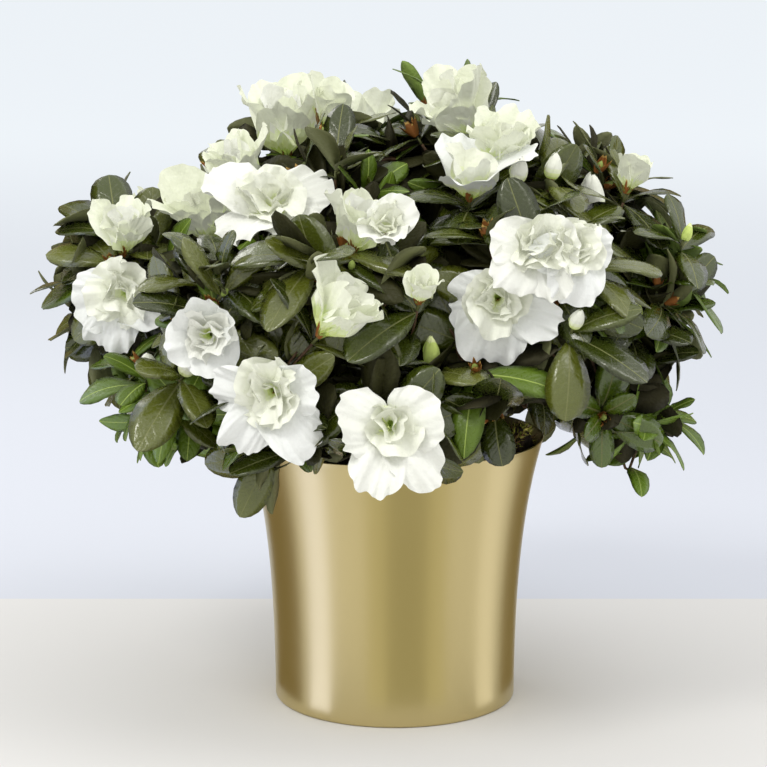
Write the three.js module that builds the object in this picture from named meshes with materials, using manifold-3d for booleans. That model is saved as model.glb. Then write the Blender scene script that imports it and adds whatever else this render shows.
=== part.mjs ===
// A white florist azalea in a satin gold cover pot.
// Millimetres, +Z up, origin at the centre of the pot's underside, -Y is the front.
import * as THREE from 'three';
import { mergeVertices } from 'three/addons/utils/BufferGeometryUtils.js';
import Module from 'manifold-3d';

const wasm = await Module();
wasm.setup();

// ---------------------------------------------------------------- sizes
const CLEAR = 0.3;            // clearance between neighbouring bodies

const POT_HEIGHT = 149.6;
const POT_BASE_R = 67.7;      // radius of the nearly straight lower part
const POT_FLARE_2 = 9.0;      // flare that grows with the square of the height
const POT_FLARE_4 = 6.4;      // flare that grows with its fourth power
const POT_WALL = 1.4;
const POT_FLOOR = 2.0;
const POT_FOOT_EDGE = 1.6;    // rounding between wall and underside
const POT_SEGMENTS = 40;

const SOIL_TOP = 139.0;       // level of the peat inside the rim
const MOSS_RISE = 21.0;       // height of the moss clump above the peat
const MOSS_AT = [66, -26];    // where the clump sits, beside the right of the rim
const MOSS_WIDTH = 17.0;
const SOIL_RINGS = 4;
const SOIL_SEGMENTS = 28;

const TRUNK_FLARE_R = 13.5;   // root flare at the soil
const TRUNK_R = 8.2;
const TRUNK_HEAD_R = 8.6;     // knuckle the boughs leave from
const TRUNK_TOP = 176.0;
const TRUNK_LEAN = [5.0, -2.0];

const BOUGH_R = 3.2;
const BOUGH_TIP_R = 1.9;
const BRANCH_R = 1.9;
const BRANCH_TIP_R = 1.2;

const MASS_DETAIL = 3;
const MASS_DETAIL_PLAIN = 2;
const MASS_GAP = 0.7;         // between neighbouring masses
const MASS_UNEVEN = 0.18;     // depth of the lobes against the radius
const MASS_ROUGH = 0.09;      // finer roughness over the lobes

// Foliage masses: centre and half sizes. The plain ones are drawn with fewer faces.
const MASSES = {
  low_left: { at: [-109, -66, 196], half: [45, 50, 45] },
  front_left: { at: [-57, -113, 182], half: [41, 46, 48] },
  front: { at: [-3, -122, 185], half: [40, 44, 43] },
  front_right: { at: [47, -108, 199], half: [45, 46, 40] },
  low_right: { at: [124, -36, 159], half: [40, 44, 16] },
  left: { at: [-149, -14, 235], half: [49, 54, 52] },
  middle_left: { at: [-92, -90, 238], half: [48, 46, 42] },
  middle_front: { at: [-24, -108, 252], half: [49, 48, 43] },
  middle_right: { at: [68, -92, 250], half: [53, 48, 46] },
  right: { at: [141, -12, 231], half: [39, 56, 51] },
  upper_left: { at: [-85, 14, 283], half: [43, 52, 36] },
  upper_front: { at: [-30, -46, 290], half: [46, 48, 39] },
  upper_middle: { at: [52, -44, 291], half: [44, 46, 43], plain: true },
  top_left: { at: [-50, 26, 312], half: [40, 52, 35] },
  top_right: { at: [26, 22, 313], half: [36, 54, 42] },
  upper_right: { at: [104, 4, 278], half: [51, 54, 37] },
  low_side_left: { at: [-122, 34, 178], half: [40, 44, 34], plain: true },
  back_left: { at: [-109, 80, 244], half: [52, 52, 45], plain: true },
  back: { at: [-4, 118, 250], half: [54, 48, 44], plain: true },
  back_right: { at: [106, 80, 240], half: [52, 52, 42], plain: true },
  low_back_left: { at: [-82, 104, 182], half: [46, 44, 38], plain: true },
  low_back: { at: [2, 124, 183], half: [42, 40, 37], plain: true },
  low_back_right: { at: [85, 98, 176], half: [48, 44, 34], plain: true },
  upper_back: { at: [-6, 76, 287], half: [58, 48, 36], plain: true },
};

// Main boughs: the mass each one enters, the height on the trunk and the
// side it leaves from (degrees round from +X), and how steeply it sets off.
const BOUGHS = {
  bough_right: { to: 'right', height: 163, side: -8, rise: 22 },
  bough_front_right: { to: 'front_right', height: 163, side: -66, rise: 14 },
  bough_front_left: { to: 'front_left', height: 163, side: -122, rise: 14 },
  bough_left: { to: 'left', height: 163, side: 186, rise: 26 },
  bough_back_left: { to: 'back_left', height: 163, side: 138, rise: 26 },
  bough_back_right: { to: 'back_right', height: 163, side: 50, rise: 26 },
  bough_upper_front: { to: 'upper_front', height: 173, side: -110, rise: 64 },
  bough_top_left: { to: 'top_left', height: 173, side: 165, rise: 66 },
  bough_top_right: { to: 'top_right', height: 173, side: 12, rise: 66 },
  bough_upper_back: { to: 'upper_back', height: 173, side: 88, rise: 62 },
};

// Side branches: parent bough, place along it (0 to 1), and the mass entered.
const BRANCHES = {
  branch_low_left: { from: 'bough_left', along: 0.34, to: 'low_left' },
  branch_middle_left: { from: 'bough_top_left', along: 0.24, to: 'middle_left' },
  branch_front: { from: 'bough_front_left', along: 0.34, to: 'front' },
  branch_middle_front: { from: 'bough_upper_front', along: 0.3, to: 'middle_front' },
  branch_middle_right: { from: 'bough_top_right', along: 0.26, to: 'middle_right' },
  branch_upper_middle: { from: 'bough_top_right', along: 0.44, to: 'upper_middle' },
  branch_low_right: { from: 'bough_right', along: 0.36, to: 'low_right' },
  branch_upper_right: { from: 'bough_top_right', along: 0.34, to: 'upper_right' },
  branch_upper_left: { from: 'bough_top_left', along: 0.34, to: 'upper_left' },
  branch_back: { from: 'bough_upper_back', along: 0.3, to: 'back' },
  branch_low_back: { from: 'bough_back_right', along: 0.26, to: 'low_back' },
  branch_low_back_right: { from: 'bough_back_right', along: 0.48, to: 'low_back_right' },
  branch_low_back_left: { from: 'bough_back_left', along: 0.34, to: 'low_back_left' },
  branch_low_side_left: { from: 'bough_back_left', along: 0.22, to: 'low_side_left' },
};

// ---------------------------------------------------------------- materials
const matte = (color, roughness, metalness = 0) =>
  new THREE.MeshStandardMaterial({ color, roughness, metalness });
const leafTints = [0x3b4534, 0x424c38, 0x384131, 0x47513a];

// ---------------------------------------------------------------- helpers
function seeded(seed) {
  let s = seed >>> 0;
  return () => {
    s = (s + 0x6d2b79f5) >>> 0;
    let t = Math.imul(s ^ (s >>> 15), 1 | s);
    t = (t + Math.imul(t ^ (t >>> 7), 61 | t)) ^ t;
    return ((t ^ (t >>> 14)) >>> 0) / 4294967296;
  };
}

function indexed(positions, index) {
  const g = new THREE.BufferGeometry();
  g.setAttribute('position', new THREE.BufferAttribute(new Float32Array(positions), 3));
  g.setIndex(index);
  return g;
}

function welded(geometry) {
  const g = geometry.clone();
  g.deleteAttribute('normal');
  g.deleteAttribute('uv');
  return mergeVertices(g, 1e-4);
}

function toSolid(geometry) {
  const g = welded(geometry);
  return new wasm.Manifold(new wasm.Mesh({
    numProp: 3,
    vertProperties: new Float32Array(g.attributes.position.array),
    triVerts: new Uint32Array(g.index.array),
  }));
}

function toGeometry(solid) {
  const m = solid.getMesh();
  return indexed(Array.from(m.vertProperties), Array.from(m.triVerts));
}

// ---------------------------------------------------------------- pot
const potRadius = (z) => {
  const u = z / POT_HEIGHT;
  return POT_BASE_R + POT_FLARE_2 * u * u + POT_FLARE_4 * u ** 4;
};

function potGeometry() {
  const p = [new THREE.Vector2(0, 0)];
  p.push(new THREE.Vector2(potRadius(0) - POT_FOOT_EDGE, 0));
  p.push(new THREE.Vector2(potRadius(0) - POT_FOOT_EDGE * 0.3, POT_FOOT_EDGE * 0.3));
  for (const z of [POT_FOOT_EDGE, 45, 85, 112, 134, POT_HEIGHT - 0.5]) {
    p.push(new THREE.Vector2(potRadius(z), z));
  }
  p.push(new THREE.Vector2(potRadius(POT_HEIGHT) - 0.5, POT_HEIGHT));
  p.push(new THREE.Vector2(potRadius(POT_HEIGHT) - POT_WALL, POT_HEIGHT));
  for (const z of [134, 112, 85, 45, POT_FLOOR]) {
    p.push(new THREE.Vector2(potRadius(z) - POT_WALL, z));
  }
  p.push(new THREE.Vector2(0, POT_FLOOR));
  const g = new THREE.LatheGeometry(p, POT_SEGMENTS);
  g.rotateX(Math.PI / 2);
  return g;
}

// ---------------------------------------------------------------- soil
function soilHeight(x, y) {
  const dx = x - MOSS_AT[0];
  const dy = y - MOSS_AT[1];
  const clump = MOSS_RISE * Math.exp(-(dx * dx + dy * dy) / (MOSS_WIDTH * MOSS_WIDTH));
  const away = THREE.MathUtils.smoothstep(Math.hypot(x, y), 18, 40);
  const uneven = 1.1 * Math.sin(x * 0.11 + 1.3) * Math.cos(y * 0.13 - 0.4);
  return SOIL_TOP + away * (clump + uneven);
}

// Body of revolution under a height field: levels run from the floor up the
// wall, then rings run in over the top to the centre.
function filledBody(levels, wall, top, floorZ, segments, rings) {
  const pos = [0, 0, floorZ];
  const loops = [];
  const ring = (f) => {
    const start = pos.length / 3;
    for (let i = 0; i < segments; i += 1) {
      const a = (i / segments) * Math.PI * 2;
      pos.push(...f(Math.cos(a), Math.sin(a)));
    }
    loops.push(start);
  };
  for (const z of levels) ring((c, s) => [wall(z) * c, wall(z) * s, z]);
  const edge = wall(levels[levels.length - 1]);
  for (let k = rings; k >= 1; k -= 1) {
    const r = (edge * k) / rings - (k === rings ? 0.6 : 0);
    ring((c, s) => [r * c, r * s, top(r * c, r * s)]);
  }
  const tip = pos.length / 3;
  pos.push(0, 0, top(0, 0));
  const index = [];
  for (let i = 0; i < segments; i += 1) {
    const j = (i + 1) % segments;
    index.push(0, loops[0] + j, loops[0] + i);
    for (let k = 0; k + 1 < loops.length; k += 1) {
      const a = loops[k];
      const b = loops[k + 1];
      index.push(a + i, a + j, b + j, a + i, b + j, b + i);
    }
    const last = loops[loops.length - 1];
    index.push(last + i, last + j, tip);
  }
  return indexed(pos, index);
}

function soilGeometry() {
  const floorZ = POT_FLOOR + CLEAR;
  // the chords of the pot's inner wall lie a little inside its radius
  const chord = Math.cos(Math.PI / POT_SEGMENTS);
  const wall = (z) => (potRadius(z) - POT_WALL) * chord - CLEAR - 0.55;
  return filledBody([floorZ, 45, 85, 112, SOIL_TOP - 2.5], wall, soilHeight, floorZ,
    SOIL_SEGMENTS, SOIL_RINGS);
}

// Room kept for pot and soil where masses come down over the rim.
function rimRoom() {
  const top = (x, y) => Math.max(POT_HEIGHT + 1.5, soilHeight(x, y) + 1.5);
  const wall = (z) => potRadius(z) + 1.6;
  return toSolid(filledBody([-2, 60, 100, 125, 140, POT_HEIGHT + 0.5], wall, top, -2, 56, 8));
}

// ---------------------------------------------------------------- limbs
// Loft along a curve: radius(t) and optional out-of-round(angle, t).
function loft(curve, radius, rings, sides, grow = 0, flatStart = false) {
  const pos = [];
  const index = [];
  const frames = [];
  let normal = new THREE.Vector3(1, 0, 0);
  for (let k = 0; k <= rings; k += 1) {
    const t = k / rings;
    const c = curve.getPoint(t);
    const tangent = flatStart && k === 0 ? new THREE.Vector3(0, 0, 1) : curve.getTangent(t).normalize();
    if (Math.abs(normal.dot(tangent)) > 0.95) normal = new THREE.Vector3(0, 1, 0);
    normal = normal.clone().addScaledVector(tangent, -normal.dot(tangent)).normalize();
    const binormal = tangent.clone().cross(normal);
    frames.push(c);
    for (let i = 0; i < sides; i += 1) {
      const a = (i / sides) * Math.PI * 2;
      const r = radius(t, a) + grow;
      const v = c.clone().addScaledVector(normal, r * Math.cos(a)).addScaledVector(binormal, r * Math.sin(a));
      pos.push(v.x, v.y, v.z);
    }
  }
  const first = pos.length / 3;
  pos.push(frames[0].x, frames[0].y, frames[0].z);
  pos.push(frames[rings].x, frames[rings].y, frames[rings].z);
  for (let i = 0; i < sides; i += 1) {
    const j = (i + 1) % sides;
    index.push(first, j, i);
    for (let k = 0; k < rings; k += 1) {
      const a = k * sides;
      const b = a + sides;
      index.push(a + i, a + j, b + j, a + i, b + j, b + i);
    }
    index.push(first + 1, rings * sides + i, rings * sides + j);
  }
  return indexed(pos, index);
}

const trunkFoot = new THREE.Vector3(0, 0, SOIL_TOP + CLEAR + 0.2);
const trunkHead = new THREE.Vector3(TRUNK_LEAN[0], TRUNK_LEAN[1], TRUNK_TOP);
const trunkCurve = new THREE.QuadraticBezierCurve3(
  trunkFoot,
  new THREE.Vector3(TRUNK_LEAN[0] * 0.2, TRUNK_LEAN[1] * 0.2, (SOIL_TOP + TRUNK_TOP) / 2),
  trunkHead,
);

function trunkRadius(t, a) {
  const flare = (TRUNK_FLARE_R - TRUNK_R) * Math.exp(-t * 9) * (1 + 0.22 * Math.cos(3 * a + 0.5));
  const head = (TRUNK_HEAD_R - TRUNK_R + 0.6) * Math.exp(-(((t - 0.72) / 0.2) ** 2));
  const close = t > 0.9 ? 1 - 0.35 * ((t - 0.9) / 0.1) ** 2 : 1;
  return (TRUNK_R - 0.9 * t + flare + head) * close;
}

const trunkGeometry = (grow = 0) => loft(trunkCurve, trunkRadius, 8, 12, grow, true);

function trunkAt(z) {
  const t = THREE.MathUtils.clamp((z - trunkFoot.z) / (TRUNK_TOP - trunkFoot.z), 0, 1);
  return trunkCurve.getPoint(t);
}

function boughCurve({ to, height, side, rise }) {
  const start = trunkAt(height);
  const a = THREE.MathUtils.degToRad(side);
  const e = THREE.MathUtils.degToRad(rise);
  const out = new THREE.Vector3(Math.cos(a) * Math.cos(e), Math.sin(a) * Math.cos(e), Math.sin(e));
  start.addScaledVector(new THREE.Vector3(Math.cos(a), Math.sin(a), 0), height > 170 ? 3.6 : 3);
  const end = new THREE.Vector3(...MASSES[to].at);
  const bend = start.clone().addScaledVector(out, start.distanceTo(end) * 0.42);
  return new THREE.QuadraticBezierCurve3(start, bend, end);
}

const taper = (r0, r1) => (t, a) => (r0 + (r1 - r0) * t) * (1 + 0.05 * Math.sin(2 * a + t * 9));

const boughCurves = Object.fromEntries(Object.entries(BOUGHS).map(([n, b]) => [n, boughCurve(b)]));
const boughGeometry = (n, grow = 0) => loft(boughCurves[n], taper(BOUGH_R, BOUGH_TIP_R), 5, 6, grow);

function branchCurve({ from, along, to }) {
  const parent = boughCurves[from];
  const start = parent.getPoint(along);
  const end = new THREE.Vector3(...MASSES[to].at);
  const heading = parent.getTangent(along);
  const bend = start.clone().lerp(end, 0.4).addScaledVector(heading, start.distanceTo(end) * 0.12);
  return new THREE.QuadraticBezierCurve3(start, bend, end);
}

const branchCurves = Object.fromEntries(Object.entries(BRANCHES).map(([n, b]) => [n, branchCurve(b)]));
const branchGeometry = (n) => loft(branchCurves[n], taper(BRANCH_R, BRANCH_TIP_R), 4, 5);

// ---------------------------------------------------------------- foliage masses
const massNames = Object.keys(MASSES);

function ovalRadius(half, d) {
  return 1 / Math.sqrt((d.x / half[0]) ** 2 + (d.y / half[1]) ** 2 + (d.z / half[2]) ** 2);
}

// Each mass has its own set of lobes, pushed out or in.
const lobes = Object.fromEntries(massNames.map((name, i) => {
  const rnd = seeded(101 + i * 37);
  const list = [];
  for (let k = 0; k < 14; k += 1) {
    const z = rnd() * 2 - 1;
    const a = rnd() * Math.PI * 2;
    const q = Math.sqrt(1 - z * z);
    list.push({
      dir: new THREE.Vector3(q * Math.cos(a), q * Math.sin(a), z),
      push: (k % 3 === 2 ? -1 : 0.75) * (0.5 + 0.5 * rnd()),
      tight: 6 + rnd() * 10,
    });
  }
  return [name, list];
}));

function massGeometry(name, grow = 0) {
  const me = MASSES[name];
  const c = new THREE.Vector3(...me.at);
  const walls = massNames.filter((n) => n !== name).map((n) => {
    const n2 = new THREE.Vector3(...MASSES[n].at).sub(c);
    const gap = n2.length();
    n2.normalize();
    const mine = ovalRadius(me.half, n2);
    const theirs = ovalRadius(MASSES[n].half, n2.clone().negate());
    return { n: n2, d: (gap * mine) / (mine + theirs) - MASS_GAP / 2 };
  });
  const g = welded(new THREE.IcosahedronGeometry(1, me.plain ? MASS_DETAIL_PLAIN : MASS_DETAIL));
  const p = g.attributes.position;
  const d = new THREE.Vector3();
  const half = new THREE.Vector3(...me.half);
  const rnd = seeded(massNames.indexOf(name) * 71 + 9);
  for (let i = 0; i < p.count; i += 1) {
    d.fromBufferAttribute(p, i).multiply(half).normalize();
    let bump = 0;
    for (const l of lobes[name]) bump += l.push * Math.exp((l.dir.dot(d) - 1) * l.tight);
    let r = ovalRadius(me.half, d)
      * (0.97 + MASS_UNEVEN * THREE.MathUtils.clamp(bump, -1, 1) + MASS_ROUGH * (rnd() - 0.5));
    for (const w of walls) {
      const k = w.n.dot(d);
      if (k > 1e-3) r = Math.min(r, w.d / k);
    }
    r += grow;
    p.setXYZ(i, c.x + d.x * r, c.y + d.y * r, c.z + d.z * r);
  }
  return g;
}

// ---------------------------------------------------------------- assembly
const group = new THREE.Group();
group.name = 'azalea_in_pot';

function place(name, geometry, material) {
  const g = geometry.index ? geometry : welded(geometry);
  g.deleteAttribute('uv');
  g.computeVertexNormals();
  const mesh = new THREE.Mesh(g, material);
  mesh.name = name;
  group.add(mesh);
}

const wood = matte(0x4a3426, 0.85);
place('pot', welded(potGeometry()), matte(0xb9a566, 0.32, 1.0));
place('soil', soilGeometry(), matte(0x3a2c1e, 0.95));
place('trunk', trunkGeometry(), wood);

const room = rimRoom();
const massBodies = {};
massNames.forEach((name, i) => {
  const body = toSolid(massGeometry(name)).subtract(room);
  massBodies[name] = body;
  place(`leaves_${name}`, toGeometry(body), matte(leafTints[i % leafTints.length], 0.6));
});

const trunkRoom = toSolid(trunkGeometry(CLEAR));
for (const [name, b] of Object.entries(BOUGHS)) {
  const body = toSolid(boughGeometry(name)).subtract(trunkRoom).subtract(toSolid(massGeometry(b.to, 0.5)));
  place(name, toGeometry(body), wood);
}
for (const [name, b] of Object.entries(BRANCHES)) {
  const body = toSolid(branchGeometry(name))
    .subtract(toSolid(boughGeometry(b.from, CLEAR)))
    .subtract(toSolid(massGeometry(b.to, 0.5)));
  place(name, toGeometry(body), wood);
}

export default group;
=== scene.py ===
import math
import bpy
import numpy as np
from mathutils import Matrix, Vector
from mathutils.bvhtree import BVHTree


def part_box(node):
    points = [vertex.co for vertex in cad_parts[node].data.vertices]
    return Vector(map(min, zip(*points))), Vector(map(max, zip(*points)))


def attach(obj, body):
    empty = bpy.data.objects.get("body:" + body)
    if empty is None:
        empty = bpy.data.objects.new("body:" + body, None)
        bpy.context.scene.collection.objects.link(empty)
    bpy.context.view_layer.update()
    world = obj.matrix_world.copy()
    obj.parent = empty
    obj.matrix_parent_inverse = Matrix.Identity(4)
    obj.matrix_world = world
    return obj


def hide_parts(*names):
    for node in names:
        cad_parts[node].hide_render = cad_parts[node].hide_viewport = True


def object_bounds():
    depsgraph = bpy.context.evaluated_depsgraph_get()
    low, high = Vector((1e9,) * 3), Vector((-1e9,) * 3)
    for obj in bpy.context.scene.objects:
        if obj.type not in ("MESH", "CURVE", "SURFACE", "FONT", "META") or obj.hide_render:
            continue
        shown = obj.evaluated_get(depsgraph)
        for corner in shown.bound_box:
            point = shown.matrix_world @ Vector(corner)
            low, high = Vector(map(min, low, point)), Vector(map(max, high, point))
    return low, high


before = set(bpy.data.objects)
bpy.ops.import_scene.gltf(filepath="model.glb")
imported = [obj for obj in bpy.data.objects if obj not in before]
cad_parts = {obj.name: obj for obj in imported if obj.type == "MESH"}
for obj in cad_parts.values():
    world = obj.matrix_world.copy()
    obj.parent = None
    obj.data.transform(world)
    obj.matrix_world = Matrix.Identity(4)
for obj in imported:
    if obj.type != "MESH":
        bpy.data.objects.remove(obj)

CAD_LO, CAD_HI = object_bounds()
MM = 0.001                      # everything below is worked out in millimetres
SEED = 20

# ------------------------------------------------------------------ small maths
def unit(v):
    v = np.asarray(v, float)
    return v / max(np.linalg.norm(v), 1e-9)


def basis(z, hint=(0.0, 0.0, 1.0)):
    """Columns x, y, z with z along the given axis."""
    z = unit(z)
    h = np.asarray(hint, float)
    if abs(unit(h) @ z) > 0.97:
        h = np.array([1.0, 0.0, 0.0])
    x = unit(np.cross(h, z))
    return np.stack([x, np.cross(z, x), z], 1)


def smooth(a, b, x):
    t = np.clip((np.asarray(x, float) - a) / (b - a), 0, 1)
    return t * t * (3 - 2 * t)


def rng(*key):
    return np.random.default_rng([SEED, *[int(k) & 0x7FFFFFFF for k in key]])


def wander(p, seed, freq):
    """Smooth pseudo noise of 3-D points, about -1 to 1."""
    g = np.random.default_rng([77, seed])
    out = np.zeros(len(p))
    for k in range(5):
        d = g.normal(size=3)
        d = d / np.linalg.norm(d) * freq * (0.7 + 0.7 * g.random())
        out += np.sin(p @ d + g.random() * 6.283)
    return out / 2.6


# ------------------------------------------------------------------ materials
def node_mat(name, color, rough=0.5, metal=0.0, spec=0.5, sss=0.0, sss_radius=(1, 1, 1), sss_scale=0.002):
    m = bpy.data.materials.new(name)
    m.use_nodes = True
    p = m.node_tree.nodes["Principled BSDF"]
    p.inputs["Base Color"].default_value = (*color, 1)
    p.inputs["Roughness"].default_value = rough
    p.inputs["Metallic"].default_value = metal
    p.inputs["Specular IOR Level"].default_value = spec
    if sss:
        p.inputs["Subsurface Weight"].default_value = sss
        p.inputs["Subsurface Radius"].default_value = sss_radius
        p.inputs["Subsurface Scale"].default_value = sss_scale
    return m, m.node_tree, p


def add_bump(nt, p, scale, strength, distance, detail=4.0, kind="noise", stretch=(1, 1, 1)):
    tc = nt.nodes.new("ShaderNodeTexCoord")
    mp = nt.nodes.new("ShaderNodeMapping")
    mp.inputs["Scale"].default_value = stretch
    nt.links.new(tc.outputs["Object"], mp.inputs["Vector"])
    if kind == "noise":
        tx = nt.nodes.new("ShaderNodeTexNoise")
        tx.inputs["Detail"].default_value = detail
        out = tx.outputs["Fac"]
    else:
        tx = nt.nodes.new("ShaderNodeTexVoronoi")
        out = tx.outputs["Distance"]
    tx.inputs["Scale"].default_value = scale
    nt.links.new(mp.outputs["Vector"], tx.inputs["Vector"])
    b = nt.nodes.new("ShaderNodeBump")
    b.inputs["Strength"].default_value = strength
    b.inputs["Distance"].default_value = distance
    nt.links.new(out, b.inputs["Height"])
    nt.links.new(b.outputs["Normal"], p.inputs["Normal"])
    return mp


def ramp_color(nt, p, vec, scale, stops, detail=5.0):
    tx = nt.nodes.new("ShaderNodeTexNoise")
    tx.inputs["Scale"].default_value = scale
    tx.inputs["Detail"].default_value = detail
    nt.links.new(vec.outputs["Vector"], tx.inputs["Vector"])
    cr = nt.nodes.new("ShaderNodeValToRGB")
    e = cr.color_ramp.elements
    while len(e) < len(stops):
        e.new(0.5)
    for el, (pos, col) in zip(e, stops):
        el.position = pos
        el.color = (*col, 1)
    nt.links.new(tx.outputs["Fac"], cr.inputs["Fac"])
    nt.links.new(cr.outputs["Color"], p.inputs["Base Color"])


# Leaf blades, dealt out by spray: olive grey greens, a few brighter, a few young, the mid greens partly a painted glow
# of back-lit leaves, and a dark one, painted shade, for the leaves deep in the plant.
BLADES = [
    (0.043, 0.059, 0.005), (0.061, 0.078, 0.006), (0.090, 0.105, 0.011), (0.029, 0.040, 0.004),
    (0.114, 0.130, 0.022), (0.066, 0.109, 0.006), (0.092, 0.152, 0.011), (0.128, 0.212, 0.015), (0.031, 0.031, 0.008),
]
MID, YOUNG, DEEP_PAINTED_SHADE = 6, 7, 8


def leaf_mat(name, color, rough, spec=0.5, veins=True):
    """Leaf skin: side veins that run out from the midrib, and a fine hairy speckle."""
    m, nt, p = node_mat(name, color, rough=rough, spec=spec)
    p.inputs["Specular Tint"].default_value = (1.0, 0.985, 0.93, 1)
    p.inputs["Coat Weight"].default_value = 0.50 if veins and rough < 0.3 else 0.0
    p.inputs["Coat Roughness"].default_value = 0.11
    new, link = nt.nodes.new, nt.links.new

    def calc(op, a, b=None):
        n = new("ShaderNodeMath")
        n.operation = op
        for k, v in enumerate((a, b)):
            if v is None:
                continue
            if isinstance(v, (int, float)):
                n.inputs[k].default_value = v
            else:
                link(v, n.inputs[k])
        return n.outputs[0]

    tc = new("ShaderNodeTexCoord")
    speck = new("ShaderNodeTexNoise")
    speck.inputs["Scale"].default_value = 620
    speck.inputs["Detail"].default_value = 3
    link(tc.outputs["Object"], speck.inputs["Vector"])
    rr = new("ShaderNodeMapRange")
    rr.inputs["From Min"].default_value = 0.35
    rr.inputs["From Max"].default_value = 0.65
    rr.inputs["To Min"].default_value = rough - 0.12
    rr.inputs["To Max"].default_value = rough + 0.14
    link(speck.outputs["Fac"], rr.inputs["Value"])
    link(rr.outputs["Result"], p.inputs["Roughness"])
    height = calc("MULTIPLY", speck.outputs["Fac"], 1.1)
    if veins:
        uv = new("ShaderNodeUVMap")
        uv.uv_map = "leaf"
        sp = new("ShaderNodeSeparateXYZ")
        link(uv.outputs["UV"], sp.inputs[0])
        across = calc("ABSOLUTE", calc("SUBTRACT", sp.outputs[0], 0.5))
        along = calc("SUBTRACT", sp.outputs[1], calc("MULTIPLY", across, 0.55))
        ribs = calc("SINE", calc("MULTIPLY", along, 40.0))
        sharp = calc("POWER", calc("MULTIPLY", calc("ADD", ribs, 1.0), 0.5), 4.0)
        height = calc("SUBTRACT", height, calc("MULTIPLY", sharp, 0.36))
    b = new("ShaderNodeBump")
    b.inputs["Strength"].default_value = 0.6
    b.inputs["Distance"].default_value = 0.0005
    link(height, b.inputs["Height"])
    link(b.outputs["Normal"], p.inputs["Normal"])
    return m


leaf_mats = [leaf_mat(f"leaf_blade_{i}", c, 0.235 if i < 6 else 0.36 if i < 8 else 0.6, 0.58 if i < 6 else 0.45 if i < 8 else 0.24) for i, c in enumerate(BLADES)]
RIB, RIB_YOUNG, UNDER, UNDER_YOUNG, UNDER_DEEP_PAINTED_SHADE = range(len(BLADES), len(BLADES) + 5)
for n, c, r in (("leaf_rib", (0.165, 0.175, 0.065), 0.5), ("leaf_rib_young", (0.32, 0.42, 0.09), 0.5),
                ("leaf_under", (0.165, 0.175, 0.075), 0.66), ("leaf_under_young", (0.20, 0.29, 0.06), 0.6),
                ("leaf_under_deep_painted_shade", (0.034, 0.031, 0.012), 0.7)):
    leaf_mats.append(leaf_mat(n, c, r, spec=0.35, veins=False))

# Petals: three whites, then cream, cream green and the green yellow throat, then two lit copies whose stronger glow is
# a painted back-light. Every petal glows a little: a painted glow.
PETALS = [
    ("petal_white", (0.750, 0.757, 0.700)), ("petal_white_cool", (0.742, 0.755, 0.732)), ("petal_white_warm", (0.752, 0.765, 0.665)),
    ("petal_cream", (0.75, 0.785, 0.575)), ("petal_cream_green", (0.70, 0.765, 0.38)), ("petal_throat", (0.55, 0.665, 0.18)),
    ("petal_lit_painted_glow", (0.665, 0.685, 0.560)), ("petal_lit_foot_painted_glow", (0.62, 0.68, 0.40)),
]
petal_mats = []
for n, c in PETALS:
    m, nt, p = node_mat(n, c, rough=0.6, spec=0.22)
    p.inputs["Emission Color"].default_value = (*c, 1)       # painted glow: emission standing in for light that comes through the thin petal
    # The lit copies glow more strongly: a painted back-light.
    p.inputs["Emission Strength"].default_value = 0.25 if "lit" in n else 0.105
    add_bump(nt, p, 260, 0.8, 0.0011, 7)
    petal_mats.append(m)
W_CREAM, W_CREAMGREEN, W_THROAT, W_LIT_PAINTED_GLOW, W_LIT_FOOT_PAINTED_GLOW = range(3, 8)

bud_mats = []
for n, c, r in (("bud_scale", (0.325, 0.120, 0.028), 0.5), ("bud_scale_tip", (0.60, 0.38, 0.11), 0.5),
                ("bud_green", (0.33, 0.43, 0.10), 0.5), ("style_green", (0.52, 0.60, 0.22), 0.5),
                ("anther", (0.42, 0.30, 0.12), 0.6)):
    m, nt, p = node_mat(n, c, rough=r, spec=0.4)
    add_bump(nt, p, 900, 0.3, 0.0004, 3)
    bud_mats.append(m)

bark_mat, nt, p = node_mat("bark", (0.07, 0.045, 0.03), rough=0.85, spec=0.25)
mp = add_bump(nt, p, 260, 0.9, 0.0012, 8, stretch=(1.6, 1.6, 0.5))
ramp_color(nt, p, mp, 190, [(0.30, (0.030, 0.019, 0.012)), (0.52, (0.085, 0.052, 0.031)), (0.72, (0.17, 0.125, 0.085))])
twig_mat, nt, p = node_mat("twig_bark", (0.11, 0.065, 0.035), rough=0.7, spec=0.3)
mp = add_bump(nt, p, 500, 0.6, 0.0006, 6)
ramp_color(nt, p, mp, 240, [(0.32, (0.050, 0.028, 0.016)), (0.60, (0.125, 0.070, 0.036)), (0.80, (0.20, 0.135, 0.07))])
shoot_mat, nt, p = node_mat("green_shoot", (0.12, 0.13, 0.045), rough=0.6, spec=0.3)
add_bump(nt, p, 600, 0.4, 0.0004, 4)

soil_mat, nt, p = node_mat("peat", (0.04, 0.026, 0.018), rough=0.95, spec=0.15)
mp = add_bump(nt, p, 420, 1.0, 0.0015, 9)
ramp_color(nt, p, mp, 150, [(0.30, (0.012, 0.008, 0.006)), (0.55, (0.042, 0.027, 0.017)), (0.78, (0.105, 0.072, 0.045))])
moss_lightened_mats = []
# Moss tints: the yellow green is the moss's own, the extra brightness is painted light against the crown's shade.
for n, c in (("moss_olive", (0.33, 0.34, 0.055)), ("moss_yellow", (0.70, 0.66, 0.17)), ("moss_brown", (0.20, 0.12, 0.045))):
    m, nt, p = node_mat(n, c, rough=0.85, spec=0.2)
    add_bump(nt, p, 900, 0.5, 0.0004, 4)
    moss_lightened_mats.append(m)

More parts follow.
